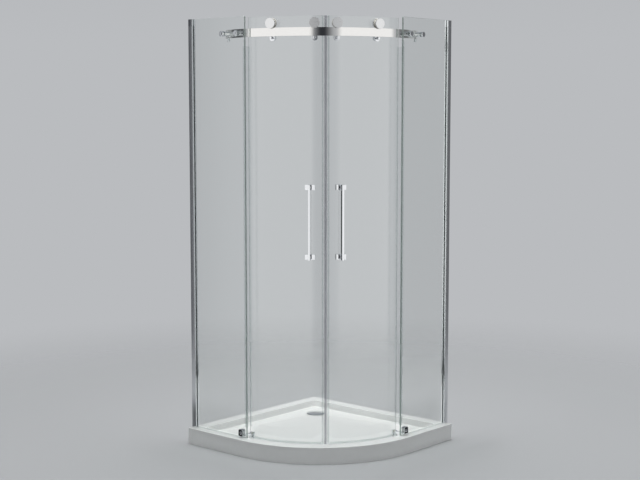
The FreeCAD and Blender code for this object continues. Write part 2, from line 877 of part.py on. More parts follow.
def rail_stops():
    """Pins screwed up into the rail's ends, with the clear sleeves that meet the anti-lift pins."""
    root_radius = S.stop_pin - S.cap_bevel
    foot = rail_foot - S.stop_length
    shoulder = foot + S.stop_head_rise
    bore = S.stop_pin + S.stud_fit
    pins, sleeves = [], []
    for side in SIDES:
        pins.append(turned("pin", [
            (0, foot), (S.stop_head - S.cap_bevel, foot), (S.stop_head, foot + S.cap_bevel),
            (S.stop_head, shoulder), (S.stop_pin, shoulder), (S.stop_pin, rail_foot),
            (root_radius, rail_foot), (root_radius, rail_foot + S.stop_root), (0, rail_foot + S.stop_root)],
            stop_spot(side), "upright"))
        sleeves.append(turned("sleeve", rectangle(bore, S.stop_pin + S.stop_sleeve, shoulder, rail_foot),
                              stop_spot(side), "upright"))
    return [compound("rail_stop_pins", pins), compound("rail_stop_sleeves", sleeves)]


# Bottom guides

def door_point(radius, offset):
    """A place at the guide's angle, in the frame of the left panel."""
    past = 45 - guide_angle
    x = wall_to_bow + radius * sine(past) + offset * cosine(past)
    y = panel_mid - radius * cosine(past) + offset * sine(past)
    return x, y


def hook_block(inner, outer, wide):
    return [door_point(outer, -wide), door_point(outer, wide),
            door_point(inner, wide), door_point(inner, -wide)]


def clamp_plate(body, side, inner, outer):
    """A plate on one face of a fixed panel, with its two top corners rounded."""
    pad(body, handed(side, rectangle(guide_start, guide_end, inner, outer)), guide_foot, guide_top)

    def corner(edge):
        box = edge.BoundBox
        return box.ZMin > guide_top.number - MARGIN and box.YLength > MARGIN
    fillet(body, S.guide_round, corner)


def guide_arm(side):
    face = half_glass + S.guide_plate
    outer_leg = pane_outer + S.hook_gap
    inner_leg = pane_inner - S.hook_gap
    inner_end = inner_leg - S.hook_wall
    bridge_top = pane_foot - S.wiper_drop - S.hook_clearance
    bridge_foot = bridge_top - S.hook_bridge
    wide = S.hook_half_width
    leg_middle = outer_leg + S.hook_wall / 2
    body = make_body("arm", panel_spot(side))
    clamp_plate(body, side, half_glass, face)
    arm = [(guide_end - S.guide_arm_width, face - MARGIN), (guide_end, face - MARGIN),
           door_point(leg_middle, wide), door_point(leg_middle, -wide)]
    pad(body, handed(side, arm), guide_foot, guide_foot + S.guide_arm_rise)
    for inner, outer, half, low, high in (
            (outer_leg, outer_leg + S.hook_wall, wide, bridge_foot, hook_top),
            (inner_end, outer_leg + S.hook_wall, wide, bridge_foot, bridge_top),
            (inner_end, inner_leg, wide, bridge_foot, hook_top),
            (inner_end, inner_leg, S.hook_plate_half_width, hook_top - S.hook_plate_height, hook_top)):
        pad(body, handed(side, hook_block(inner, outer, half)), low, high)
    drill(body, "XZ", [guide_bolt_spot], S.guide_bolt + S.bolt_clearance)
    return body


def guide_clamp_plate(side):
    body = make_body("plate", panel_spot(side))
    clamp_plate(body, side, -half_glass - S.guide_plate, -half_glass)
    drill(body, "XZ", [guide_bolt_spot], S.guide_bolt + S.bolt_clearance)
    return body


def guide_bolt(side):
    along, height = guide_bolt_spot
    face = half_glass + S.guide_plate
    head = face + S.guide_bolt_rise
    outline = [(0, -head), (S.guide_bolt_head - S.cap_bevel, -head), (S.guide_bolt_head, S.cap_bevel - head),
               (S.guide_bolt_head, -face), (S.guide_bolt, -face), (S.guide_bolt, face), (0, face)]
    return turned("bolt", handed(side, outline), panel_spot(side, along, height), "crosswise")


def guide_sliders(side):
    """Nylon buttons on the hook's legs that steady the pane from both sides."""
    height = hook_top - S.slider_radius
    radius = S.slider_radius
    buttons = []
    for leg, tip, bevel in ((pane_outer + S.hook_gap, pane_outer + S.slider_gap, -S.slider_bevel),
                            (pane_inner - S.hook_gap, pane_inner - S.slider_gap, S.slider_bevel)):
        outline = [(leg, 0), (tip, 0), (tip, radius - S.slider_bevel), (tip - bevel, radius), (leg, radius)]
        buttons.append(turned("button", outline, door_spot(side, guide_angle, height), "radial"))
    return buttons


# Doors

def pane(side):
    blank = sector(side, pane_inner, pane_outer, pane_foot, pane_top, pane_front, S.door_rear_angle)
    spots = [(angle, height, radius) for angle in (S.wheel_front_angle, S.wheel_rear_angle)
             for height, radius in ((axle_z, S.axle_radius), (lift_z, S.lift_shank))]
    spots += [(S.handle_angle, height, S.handle_bolt) for height in handle_bolt_heights]
    tools = []
    for angle, height, radius in spots:
        hole = rectangle(pane_inner - MARGIN, pane_outer + MARGIN, 0, radius + S.axle_hole_margin)
        tools.append(turned("hole", hole, door_spot(side, angle, height), "radial"))
    return combined("Part::Cut", f"{side}_door_glass", blank, compound("holes", tools))


def wrapped(side, label, bottom, top, near, far, extra=()):
    """A strip that wraps an edge of the pane, with fins added to it."""
    out = S.seal_wall + S.seal_fit
    jacket = sector(side, pane_inner - out, pane_outer + out, bottom, top, near, far)
    whole = fused("strip", [jacket, *extra]) if extra else jacket
    pane_room = sector(side, pane_inner - S.seal_fit, pane_outer + S.seal_fit, pane_foot - S.seal_fit,
                       top_z, pane_front, S.door_rear_angle)
    return combined("Part::Cut", label, whole, pane_room)


def front_seal(side):
    """The magnetic strip: a solid nose on the diagonal and two lips over the pane's edge."""
    near = S.meeting_gap / pane_middle * DEGREES
    far = pane_front + S.seal_wrap / pane_middle * DEGREES
    return wrapped(side, f"{side}_front_seal", pane_foot - S.front_seal_drop, pane_top, near, far)


def bottom_seal(side):
    near = pane_front + (S.seal_wrap + S.wiper_thickness) / pane_middle * DEGREES
    base = pane_foot - S.wiper_base
    half = S.wiper_thickness / 2
    wiper = sector(side, pane_middle - half, pane_middle + half, pane_foot - S.wiper_drop, base, near,
                   S.door_rear_angle)
    return wrapped(side, f"{side}_bottom_seal", base, pane_foot + S.seal_wrap, near, S.door_rear_angle,
                   [wiper])


def rear_seal(side):
    """A clear strip on the rear edge, with a fin that closes the gap to the fixed panel."""
    thick = S.fin_thickness / pane_middle * DEGREES
    near = S.door_rear_angle - S.seal_wrap / pane_middle * DEGREES
    far = S.door_rear_angle + thick
    low = S.tray_height + S.fin_low
    high = rail_foot - S.fin_high
    fin = sector(side, pane_outer, pane_outer + S.fin_reach, low, high, S.door_rear_angle, far)
    return wrapped(side, f"{side}_rear_seal", low, high, near, far, [fin])


def wheel(side, angle, label):
    bore = S.axle_radius + S.axle_fit
    groove_in, groove_out = rail_inner - S.groove_clearance, rail_outer + S.groove_clearance
    inside, outside = groove_in - S.flange_inside, groove_out + S.flange_outside
    flange = S.wheel_flange
    return turned(label, [
        (inside, bore), (inside, flange - S.cap_bevel), (inside + S.cap_bevel, flange), (groove_in, flange),
        (groove_in, S.wheel_running), (groove_out, S.wheel_running), (groove_out, flange),
        (outside - S.cap_bevel, flange), (outside, flange - S.cap_bevel), (outside, bore)],
        door_spot(side, angle, axle_z), "radial")


def rollers(side):
    """Axles, outside caps, inside nuts, anti-lift pins and the washers on the glass, for one door."""
    axles, caps, nuts, pins, washers = [], [], [], [], []
    wheel_in = rail_inner - S.groove_clearance - S.flange_inside
    wheel_out = rail_outer + S.groove_clearance + S.flange_outside
    cap_face = wheel_out + S.cap_play
    cap_end = cap_face + S.roller_cap_thickness
    axle_end = cap_end - S.roller_cap_skin
    outer, inner = pane_outer + S.washer_seat + S.door_washer, pane_inner - S.washer_seat - S.door_washer
    nut_end = inner - S.nut_cap_depth
    bolt_end = nut_end + S.nut_cap_skin
    disc_end = rail_inner - S.lift_disc_gap
    for angle in (S.wheel_front_angle, S.wheel_rear_angle):
        spot = door_spot(side, angle, axle_z)
        low_spot = door_spot(side, angle, lift_z)
        bore = S.axle_radius + S.axle_fit
        collar_end = wheel_in - S.axle_play
        axles.append(turned("axle", [
            (bolt_end, 0), (axle_end, 0), (axle_end, S.axle_radius), (collar_end, S.axle_radius),
            (collar_end, S.axle_collar), (outer, S.axle_collar), (outer, S.axle_radius),
            (bolt_end, S.axle_radius)], spot, "radial"))
        caps.append(turned("cap", [
            (cap_face, bore), (axle_end + S.axle_fit, bore), (axle_end + S.axle_fit, 0), (cap_end, 0),
            (cap_end, S.roller_cap - S.cap_bevel), (cap_end - S.cap_bevel, S.roller_cap),
            (cap_face, S.roller_cap)], spot, "radial"))
        pins.append(turned("pin", [
            (bolt_end, 0), (lift_end, 0), (lift_end, S.lift_pin), (disc_end, S.lift_pin),
            (disc_end, S.lift_disc), (outer, S.lift_disc), (outer, S.lift_shank),
            (bolt_end, S.lift_shank)], low_spot, "radial"))
        for where, shank, cap, face in ((spot, S.axle_radius, S.nut_cap_radius, S.axle_collar),
                                        (low_spot, S.lift_shank, S.lift_cap_radius, S.lift_disc)):
            hole = shank + S.axle_fit
            nuts.append(turned("nut", [
                (inner, hole), (inner, cap), (nut_end + S.nut_cap_skin, cap),
                (nut_end, cap - S.nut_cap_skin), (nut_end, 0), (bolt_end - S.axle_fit, 0),
                (bolt_end - S.axle_fit, hole)], where, "radial"))
            eye = shank + S.bolt_clearance
            washers.append(turned("washer", rectangle(pane_outer + S.washer_seat, outer, eye, face),
                                  where, "radial"))
            washers.append(turned("washer", rectangle(inner, pane_inner - S.washer_seat, eye, cap),
                                  where, "radial"))
    return [compound(f"{side}_roller_axles", axles), compound(f"{side}_roller_caps", caps),
            compound(f"{side}_roller_nuts", nuts), compound(f"{side}_anti_lift_pins", pins),
            compound(f"{side}_door_gaskets", washers + handle_pads(side))]


def handle_ends():
    """Bottom and top of the plate at each end of a handle."""
    top = S.handle_foot + S.handle_length
    return [(S.handle_foot, S.handle_foot + S.handle_plate_height), (top - S.handle_plate_height, top)]


def handle(side):
    """A flat bar that stands off the glass on two posts, each with a plate."""
    half_plate, half_post, half_bar = S.handle_plate_width / 2, S.handle_post / 2, S.handle_bar / 2
    plate_face = outer_seat + S.handle_plate
    bar_back = pane_outer + S.handle_reach
    bar_face = bar_back + S.handle_bar_depth
    bar_top = S.handle_foot + S.handle_length
    body = make_body(f"{side}_handle", door_spot(side, S.handle_angle))
    pad(body, rectangle(bar_back, bar_face, -half_bar, half_bar), S.handle_foot, bar_top)
    for (low, high), height in zip(handle_ends(), handle_bolt_heights):
        post = rectangle(plate_face, bar_back, -half_post, half_post)
        pad(body, post, height - half_post, height + half_post)
        pad(body, rectangle(outer_seat, plate_face, -half_plate, half_plate), low, high)
    sockets = new_sketch(body, "YZ", outer_seat + S.handle_bolt_bite + MARGIN)
    for height in handle_bolt_heights:
        add_circle(sockets, 0, height, S.handle_bolt + S.axle_fit)
    pocket(body, sockets, S.handle_bolt_bite + MARGIN, upwards=False)
    return body


def handle_backplates(side):
    """Plates inside the glass, one behind each plate of the handle."""
    half = S.handle_plate_width / 2
    plates = []
    for (low, high), height in zip(handle_ends(), handle_bolt_heights):
        body = make_body("backplate", door_spot(side, S.handle_angle))
        pad(body, rectangle(backplate_face, inner_seat, -half, half), low, high)
        drill(body, "YZ", [(0, height)], S.handle_bolt + S.bolt_clearance)
        plates.append(body)
    return compound(f"{side}_handle_backplates", plates)


def handle_bolts(side):
    """Bolts from inside, through backing plate and glass, into the handle's posts."""
    head = backplate_face - S.handle_bolt_rise
    tip = outer_seat + S.handle_bolt_bite
    outline = [(head, 0), (head, S.handle_bolt_head - S.cap_bevel), (head + S.cap_bevel, S.handle_bolt_head),
               (backplate_face, S.handle_bolt_head), (backplate_face, S.handle_bolt), (tip, S.handle_bolt),
               (tip, 0)]
    return compound(f"{side}_handle_bolts", [
        turned("bolt", outline, door_spot(side, S.handle_angle, height), "radial")
        for height in handle_bolt_heights])


def handle_pads(side):
    """Clear pads between the flat plates and the curved glass."""
    half = S.handle_plate_width / 2
    eye = S.handle_bolt + S.bolt_clearance
    pads = []
    for low, high in handle_ends():
        bolt = turned("eye", rectangle(inner_seat - MARGIN, outer_seat + MARGIN, 0, eye),
                      door_spot(side, S.handle_angle, (low + high) / 2), "radial")
        for near, far, kind, edge in (
                (pane_outer - 2 * S.handle_pad, outer_seat, "Part::Cut", pane_outer + S.seal_fit),
                (inner_seat, pane_inner + S.handle_pad, "Part::Common", pane_inner - S.seal_fit)):
            block = make_body("block", door_spot(side, S.handle_angle))
            pad(block, rectangle(near, far, -half, half), low, high)
            shaped = combined(kind, "shaped", block, cylinder(edge, low - MARGIN, high - low + 2 * MARGIN))
            pads.append(combined("Part::Cut", "pad", shaped, bolt))
    return pads


# The whole cabin

def build_cabin():
    parts = [shower_tray(), tray_base_board(), *tray_feet(), waste_body(), waste_gaskets(), waste_backnut(),
             drain_strainer(), drain_cover(), top_rail(), *standoffs(), *rail_stops()]
    for label, make in (("glazing_gaskets", glazing_gasket), ("profile_caps", profile_cap),
                        ("fixed_bottom_seals", fixed_bottom_seal), ("fixed_edge_seals", fixed_edge_seal),
                        ("guide_arms", guide_arm), ("guide_clamp_plates", guide_clamp_plate),
                        ("guide_bolts", guide_bolt)):
        parts.append(compound(label, [make(side) for side in SIDES]))
    for label, make in (("profile_screws", channel_screws), ("guide_sliders", guide_sliders)):
        parts.append(compound(label, [piece for side in SIDES for piece in make(side)]))
    for side in SIDES:
        parts += [wall_channel(side), glass_channel(side), fixed_glass(side), pane(side), front_seal(side),
                  bottom_seal(side), rear_seal(side), *rollers(side),
                  wheel(side, S.wheel_front_angle, f"{side}_front_wheel"),
                  wheel(side, S.wheel_rear_angle, f"{side}_rear_wheel"),
                  handle(side), handle_backplates(side), handle_bolts(side)]
    return parts


cabin = build_cabin()
doc.recompute()
failed = [item.Label for item in doc.Objects if {"Invalid", "Error"} & set(item.State)]
if failed:
    raise RuntimeError(f"failed objects: {failed}")
for piece in cabin:
    if piece.Shape.isNull() or not piece.Shape.isValid() or not piece.Shape.Solids:
        raise RuntimeError(f"bad shape: {piece.Label}")

os.makedirs("parts", exist_ok=True)
for piece in cabin:
    piece.Shape.exportStep(f"parts/{piece.Label}.step")
    print(f"{piece.Label}: {len(piece.Shape.Solids)} solid(s), {piece.Shape.Volume / 1000:.1f} cm3")
print(f"{len(cabin)} sub-parts")
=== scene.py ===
# %% [markdown]
# # A quadrant shower cabin
# The real cabin stands in a corner: a white tray with a bowed front, a fixed glass panel on each side, and two
# curved doors that hang from a bowed rail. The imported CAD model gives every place. This lesson builds smooth,
# finely edged pieces on those places and gives each one the finish of the real material.

import math

import bmesh
import bpy
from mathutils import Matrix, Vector


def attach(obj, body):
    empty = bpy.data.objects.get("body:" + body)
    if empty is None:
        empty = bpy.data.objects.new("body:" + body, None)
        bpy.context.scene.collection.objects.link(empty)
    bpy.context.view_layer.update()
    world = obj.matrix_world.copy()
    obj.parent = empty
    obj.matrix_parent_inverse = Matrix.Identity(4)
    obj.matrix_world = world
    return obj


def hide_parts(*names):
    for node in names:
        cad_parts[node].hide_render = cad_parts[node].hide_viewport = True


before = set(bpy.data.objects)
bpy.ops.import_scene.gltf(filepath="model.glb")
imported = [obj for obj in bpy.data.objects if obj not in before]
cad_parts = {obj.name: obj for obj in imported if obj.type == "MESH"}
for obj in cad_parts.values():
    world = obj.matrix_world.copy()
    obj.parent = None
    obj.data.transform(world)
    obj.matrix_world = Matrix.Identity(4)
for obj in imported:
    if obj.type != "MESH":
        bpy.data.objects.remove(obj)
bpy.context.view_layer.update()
scene = bpy.context.scene

# %% [markdown]
# ## Places on the cabin
# Lengths below are in millimetres, as on a drawing, and become metres when a mesh is made. Everything curved turns
# about one upright axis, the axis of the bow. Each place could be typed in as x and y. Here a door is measured by
# an angle from the diagonal, where the doors meet, and a fixed panel by the distance from its profile's back,
# because then one drawing serves the left and the right.

# %% Shared sizes
MM = 0.001
SIDES = ("left", "right")
HALF_SIDE, PANEL_PLANE = 450, 412
BOW_RADIUS, BOW_X, BOW_Y = 550, -100, 100
print(f"the bow turns about x {BOW_X}, y {BOW_Y} mm, {BOW_RADIUS} mm out")


# %% Places on a door and on a panel
def door_turn(side, angle):
    """The compass angle about the bow's axis of an angle counted from the diagonal."""
    return -45 - angle if side == "left" else -45 + angle


def door_point(side, angle, out, across=0):
    """A place at a distance out from the bow's axis, and across from that line."""
    turn = math.radians(door_turn(side, angle))
    return (BOW_X + out * math.cos(turn) - across * math.sin(turn),
            BOW_Y + out * math.sin(turn) + across * math.cos(turn))


def panel_point(side, along, inward):
    """A place beside a fixed panel's middle plane, at a distance along from the back of its profile."""
    if side == "left":
        return along - HALF_SIDE, inward - PANEL_PLANE
    return PANEL_PLANE - inward, HALF_SIDE - along


print("front of the bow:", [round(part, 1) for part in door_point("left", 0, BOW_RADIUS)])

# %% [markdown]
# ## Nodes in one function
# Shaders and Geometry Nodes are wired alike: a node, its settings, and a value or a link for each input. They
# could be drawn by hand in the editor. One helper does it here, so every tree below reads as a list of what feeds
# what. Colours are written as sRGB hex, as a paint chart gives them, and turned to the linear values that the
# renderer mixes. A few short helpers name what the finishes share: noise, drifting tints, gloss and bump.


# %% Node and colour helpers
def add(tree, kind, inputs=None, **settings):
    """Adds a node with its settings, and links or sets its inputs."""
    node = tree.nodes.new(kind)
    for name, value in settings.items():
        setattr(node, name, value)
    for key, value in (inputs or {}).items():
        if isinstance(value, bpy.types.NodeSocket):
            tree.links.new(value, node.inputs[key])
        else:
            node.inputs[key].default_value = value
    return node


def feed(tree, kind, inputs=None, **settings):
    """Adds a node and gives its first output, where most links start."""
    return add(tree, kind, inputs, **settings).outputs[0]


def linear(text):
    """Linear RGBA from an sRGB hex colour."""
    channels = [int(text[start:start + 2], 16) / 255 for start in (1, 3, 5)]
    return (*(c / 12.92 if c <= 0.04045 else ((c + 0.055) / 1.055) ** 2.4 for c in channels), 1)


def new_finish(name):
    """An empty material, its tree, and the object coordinates that patterns read."""
    finish = bpy.data.materials.new(name)
    finish.use_nodes = True
    tree = finish.node_tree
    tree.nodes.clear()
    return finish, tree, add(tree, "ShaderNodeTexCoord").outputs["Object"]


print("white acrylic in linear light:", [round(c, 3) for c in linear("#f3f4f3")])


# %% Helpers for finishes
def noise(tree, coords, size, detail, **more):
    """A noise with grains of a size in metres."""
    grains = {"Vector": coords, "Scale": 1 / size, "Detail": detail, **more}
    return feed(tree, "ShaderNodeTexNoise", grains)


def tinted(tree, share, first, second):
    """A colour that drifts from one to another."""
    tones = {"Factor": share, "A": linear(first), "B": linear(second)}
    return add(tree, "ShaderNodeMix", tones, data_type="RGBA").outputs[2]


def ranged(tree, share, low, high, start=0.3, stop=0.7):
    """A share spread between two values. Noise keeps to the middle, so only that part counts."""
    span = {"Value": share, "From Min": start, "From Max": stop, "To Min": low, "To Max": high}
    return feed(tree, "ShaderNodeMapRange", span)


def bumped(tree, height, strength, depth):
    return feed(tree, "ShaderNodeBump", {"Height": height, "Strength": strength, "Distance": depth})


def principled(tree, inputs):
    return feed(tree, "ShaderNodeBsdfPrincipled", inputs)


def show(tree, shader):
    add(tree, "ShaderNodeOutputMaterial", {"Surface": shader})


print("grains 60 mm wide need a noise scale of", round(1 / 0.06, 1))

# %% [markdown]
# ## Acrylic tray
# The tray is vacuum-formed sanitary acrylic: glossy, bright white, with the faint waviness of a drawn sheet. A
# plain white with one roughness would look like paper. So a wide, very shallow noise bends the reflections, and a
# second one breaks the gloss where soap film dries.


# %% Sanitary acrylic
def sanitary_acrylic():
    finish, tree, coords = new_finish("sanitary_acrylic")
    # 60 mm waves of the drawn sheet, and 25 mm patches of film.
    wave, film = noise(tree, coords, 0.06, 1.0), noise(tree, coords, 0.025, 4.0)
    show(tree, principled(tree, {
        "Base Color": tinted(tree, film, "#f6f7f6", "#f0f1f0"), "Roughness": ranged(tree, film, 0.1, 0.19),
        "IOR": 1.49, "Coat Weight": 0.25, "Coat Roughness": 0.05, "Normal": bumped(tree, wave, 0.12, 0.001)}))
    return finish


FINISHES = {"acrylic": sanitary_acrylic()}  # by the slot that each one fills
print("tray:", FINISHES["acrylic"].name)

# %% [markdown]
# ## Bright metals
# Several bright metals sit side by side: chrome plate on the fittings, polished stainless steel on the rail, satin
# steel on the roller discs, bright dipped aluminium on the wall profiles and zinc-plated steel on hidden bolts.
# Each keeps a metal's mirror, and differs in the marks its making leaves: buffing haze, a lengthwise grain, fine
# lathe marks, die lines, or a mottled passivation. Each could have a shader of its own, but one recipe with a few
# numbers keeps them comparable.


# %% Chrome, stainless steel, aluminium and zinc
def metal(name, light, deep, grain, stretch, rough, lift):
    """A metal whose roughness and shade drift with a noise of the given grain size and stretch."""
    finish, tree, coords = new_finish(name)
    drawn_out = feed(tree, "ShaderNodeMapping", {"Vector": coords, "Scale": stretch})
    marks = noise(tree, drawn_out, grain, 5.0, Roughness=0.6)
    show(tree, principled(tree, {
        "Base Color": tinted(tree, marks, light, deep), "Metallic": 1.0, "Roughness": ranged(tree, marks, *rough),
        "Normal": bumped(tree, marks, lift, 0.0002)}))
    return finish


metals = {
    # Chrome: a near-perfect mirror with 8 mm patches of buffing haze.
    "chrome": metal("chrome_plate", "#eff1f3", "#e6e8eb", 0.008, (1, 1, 1), (0.03, 0.08), 0.02),
    # Polished stainless: warmer than chrome, with a faint grain along the bar, drawn as flat streaks 12 mm apart.
    "rail": metal("polished_stainless", "#f1f0ee", "#e7e6e4", 0.012, (1, 1, 6), (0.04, 0.1), 0.03),
    # Satin steel: turned and dulled, so that it blurs what it mirrors into an even grey.
    "satin": metal("satin_steel", "#f0f0f0", "#e4e5e6", 0.001, (1, 1, 1), (0.24, 0.34), 0.04),
    # Bright dipped aluminium: die lines run up the profile, so the noise is drawn out 40 times along Z.
    "profile": metal("bright_aluminium", "#eceef0", "#dee0e3", 0.003, (1, 1, 0.025), (0.06, 0.16), 0.05),
    # Zinc: dull, faintly blue, mottled at 4 mm by the passivation bath.
    "steel": metal("zinc_steel", "#b9bdc2", "#9a9c98", 0.004, (1, 1, 1), (0.28, 0.45), 0.1),
}
FINISHES.update(metals)
print("metals:", *(finish.name for finish in metals.values()))

# %% [markdown]
# ## Glass and seals
# The panes are clear tempered glass. Its face shows little but a soft reflection, and its edges look grey-green,
# because light runs a long way inside the sheet before it leaves. A clear film on one face would be quicker, but
# only a real refraction shader on a solid pane gives both. Lamps would stop at it, so the rays that ask for shadow
# pass through a clear shader, slightly tinted. Edges are worked before tempering: the fixed panels' are ground
# matt, and the doors' and all feet are polished.
#
# The seals are thin soft PVC, too thin to bend what is seen through them: a clear shader with a share of cloudy
# plastic gives that film. The door's magnet strip shows grey through its sleeve.


# %% Tempered glass
def clear(tree, colour="#ffffff"):
    return feed(tree, "ShaderNodeBsdfTransparent", {"Color": linear(colour)})


def mixed(tree, share, first, second):
    return feed(tree, "ShaderNodeMixShader", {"Fac": share, 1: first, 2: second})


def pass_lamps(tree, shader):
    """Shows a shader, but lets the rays that ask for shadow go on, slightly tinted."""
    shadow = add(tree, "ShaderNodeLightPath").outputs["Is Shadow Ray"]
    show(tree, mixed(tree, shadow, shader, clear(tree, "#f6f9f8")))


def tempered_glass():
    finish, tree, coords = new_finish("tempered_glass")
    # Furnace rollers leave a ripple of about 300 mm that only bends a reflection.
    ripple = noise(tree, coords, 0.3, 0.0)
    pass_lamps(tree, principled(tree, {
        "Base Color": linear("#fbfdfc"), "Roughness": 0.0, "IOR": 1.52, "Transmission Weight": 1.0,
        "Normal": bumped(tree, ripple, 0.02, 0.001)}))
    return finish


def worked_edge(name, matt):
    """A pane's edge, of which a matt share scatters light and the rest lets it through."""
    finish, tree, coords = new_finish(name)
    # A belt grinder leaves a 1 mm grain that scatters the glass's own green.
    grain = noise(tree, coords, 0.001, 2.0)
    ground = {"Base Color": tinted(tree, grain, "#c6d2cd", "#b3c1bb"), "Roughness": 0.35, "IOR": 1.52}
    pass_lamps(tree, mixed(tree, matt, clear(tree), principled(tree, ground)))
    return finish


FINISHES["glass"] = tempered_glass()
FINISHES["ground_edge"] = worked_edge("ground_glass_edge", 1.0)
FINISHES["polished_edge"] = worked_edge("polished_glass_edge", 0.3)
print("panes:", *(FINISHES[slot].name for slot in ("glass", "ground_edge", "polished_edge")))


# %% Soft PVC
def soft_pvc(name, light, cloud, least, most):
    """Extruded soft PVC: light goes straight through, but for a share that the cloudy plastic scatters."""
    finish, tree, coords = new_finish(name)
    # Clouds of 30 mm drift along the strip.
    haze = noise(tree, coords, 0.03, 2.0)
    body = {"Base Color": tinted(tree, haze, light, cloud), "Roughness": 0.16, "IOR": 1.53}
    show(tree, mixed(tree, ranged(tree, haze, least, most), clear(tree, "#fafbfb"), principled(tree, body)))
    return finish


FINISHES["clear_pvc"] = soft_pvc("soft_clear_pvc", "#f2f4f4", "#e8ebec", 0.03, 0.07)
FINISHES["magnet_pvc"] = soft_pvc("grey_magnet_pvc", "#c8c8d0", "#babbc3", 0.44, 0.52)
print("seals:", FINISHES["clear_pvc"].name, FINISHES["magnet_pvc"].name)

# %% [markdown]
# ## Plastics, rubber and board
# Wheels and sliders are nylon, the waste is polypropylene, the pads under the tray are moulded black plastic, and
# the waste seals are rubber. All come out of a mould, so they share one recipe: a fine moulded grain in the bump,
# and a slow drift in shade. The board under the tray is birch plywood, so it gets growth rings stretched along the
# sheet. A picture of wood could give those too, but a noise has no seams and needs no file.


# %% Moulded plastics and plywood
def moulded(name, light, deep, rough, grain, lift):
    """A moulded plastic or rubber with a grain of the given size, whose shade drifts over 20 mm."""
    finish, tree, coords = new_finish(name)
    texture, drift = noise(tree, coords, grain, 3.0), noise(tree, coords, 0.02, 2.0)
    show(tree, principled(tree, {
        "Base Color": tinted(tree, drift, light, deep), "IOR": 1.5,
        "Roughness": ranged(tree, texture, rough - 0.06, rough + 0.06, 0.0, 1.0),
        "Normal": bumped(tree, texture, lift, 0.0003)}))
    return finish


def birch_plywood():
    finish, tree, coords = new_finish("birch_plywood")
    # Rings 90 mm apart along the sheet, and much closer across it.
    along = feed(tree, "ShaderNodeMapping", {"Vector": coords, "Scale": (1, 9, 30)})
    rings = noise(tree, along, 0.09, 6.0, Distortion=0.4)
    show(tree, principled(tree, {
        "Base Color": tinted(tree, rings, "#d8bd8f", "#b08c5c"), "Roughness": 0.62,
        "Normal": bumped(tree, rings, 0.3, 0.0005)}))
    return finish


# Grains are drawn at 1 to 2 mm, coarser than a real moulded skin, so that they show at all.
plastics = {
    "nylon": moulded("moulded_nylon", "#eceae4", "#e0ded7", 0.34, 0.0015, 0.05),
    "waste_plastic": moulded("polypropylene", "#e4e6e6", "#d8dadb", 0.4, 0.002, 0.08),
    "black_plastic": moulded("moulded_black_plastic", "#232426", "#1a1b1d", 0.5, 0.0012, 0.2),
    "rubber": moulded("epdm_rubber", "#26272a", "#1c1d1f", 0.6, 0.001, 0.2),
}
FINISHES.update(plastics)
plywood = birch_plywood()
print("moulded:", *(finish.name for finish in plastics.values()), "and", plywood.name)

# %% [markdown]
# ## Turned pieces
# Discs, knobs, screws, wheels and washers are all turned: one outline spun about an axis. The panes and the rail
# are too, over part of a turn about the bow's axis. A Screw modifier could spin each one. One Geometry Nodes tree
# does every one here, because it can also set a copy wherever the piece repeats. It reads the outline from the
# object's own points, lays a grid of outline points by steps, bends that grid round the axis, and sets a copy on
# every spot. A spot is a loose point that carries its turn.

# %% Helpers for trees
MERGE = 1e-6


def maths(tree, operation, *values):
    """The result of one sum on numbers or links."""
    return feed(tree, "ShaderNodeMath", dict(enumerate(values)), operation=operation)


def tree_with_inputs(name, *inputs):
    """A Geometry Nodes tree with a geometry input and output, and the named inputs after it."""
    tree = bpy.data.node_groups.new(name, "GeometryNodeTree")
    tree.interface.new_socket("Geometry", in_out="INPUT", socket_type="NodeSocketGeometry")
    tree.interface.new_socket("Geometry", in_out="OUTPUT", socket_type="NodeSocketGeometry")
    for label, kind in inputs:
        tree.interface.new_socket(label, in_out="INPUT", socket_type=kind)
    return tree, add(tree, "NodeGroupInput").outputs, add(tree, "NodeGroupOutput").inputs


def stored(tree, name, kind):
    """An attribute that the mesh brings along."""
    return feed(tree, "GeometryNodeInputNamedAttribute", {"Name": name}, data_type=kind)


def merged(tree, shape):
    return feed(tree, "GeometryNodeMergeByDistance", {"Geometry": shape, "Distance": MERGE})


def coated(tree, shape, finish, result):
    """Ends a tree: copies become real faces and take the finish."""
    solid = feed(tree, "GeometryNodeRealizeInstances", {"Geometry": shape})
    coat = feed(tree, "GeometryNodeSetMaterial", {"Geometry": solid, "Material": finish})
    tree.links.new(coat, result["Geometry"])


print(f"points within {MERGE / MM:g} mm become one")


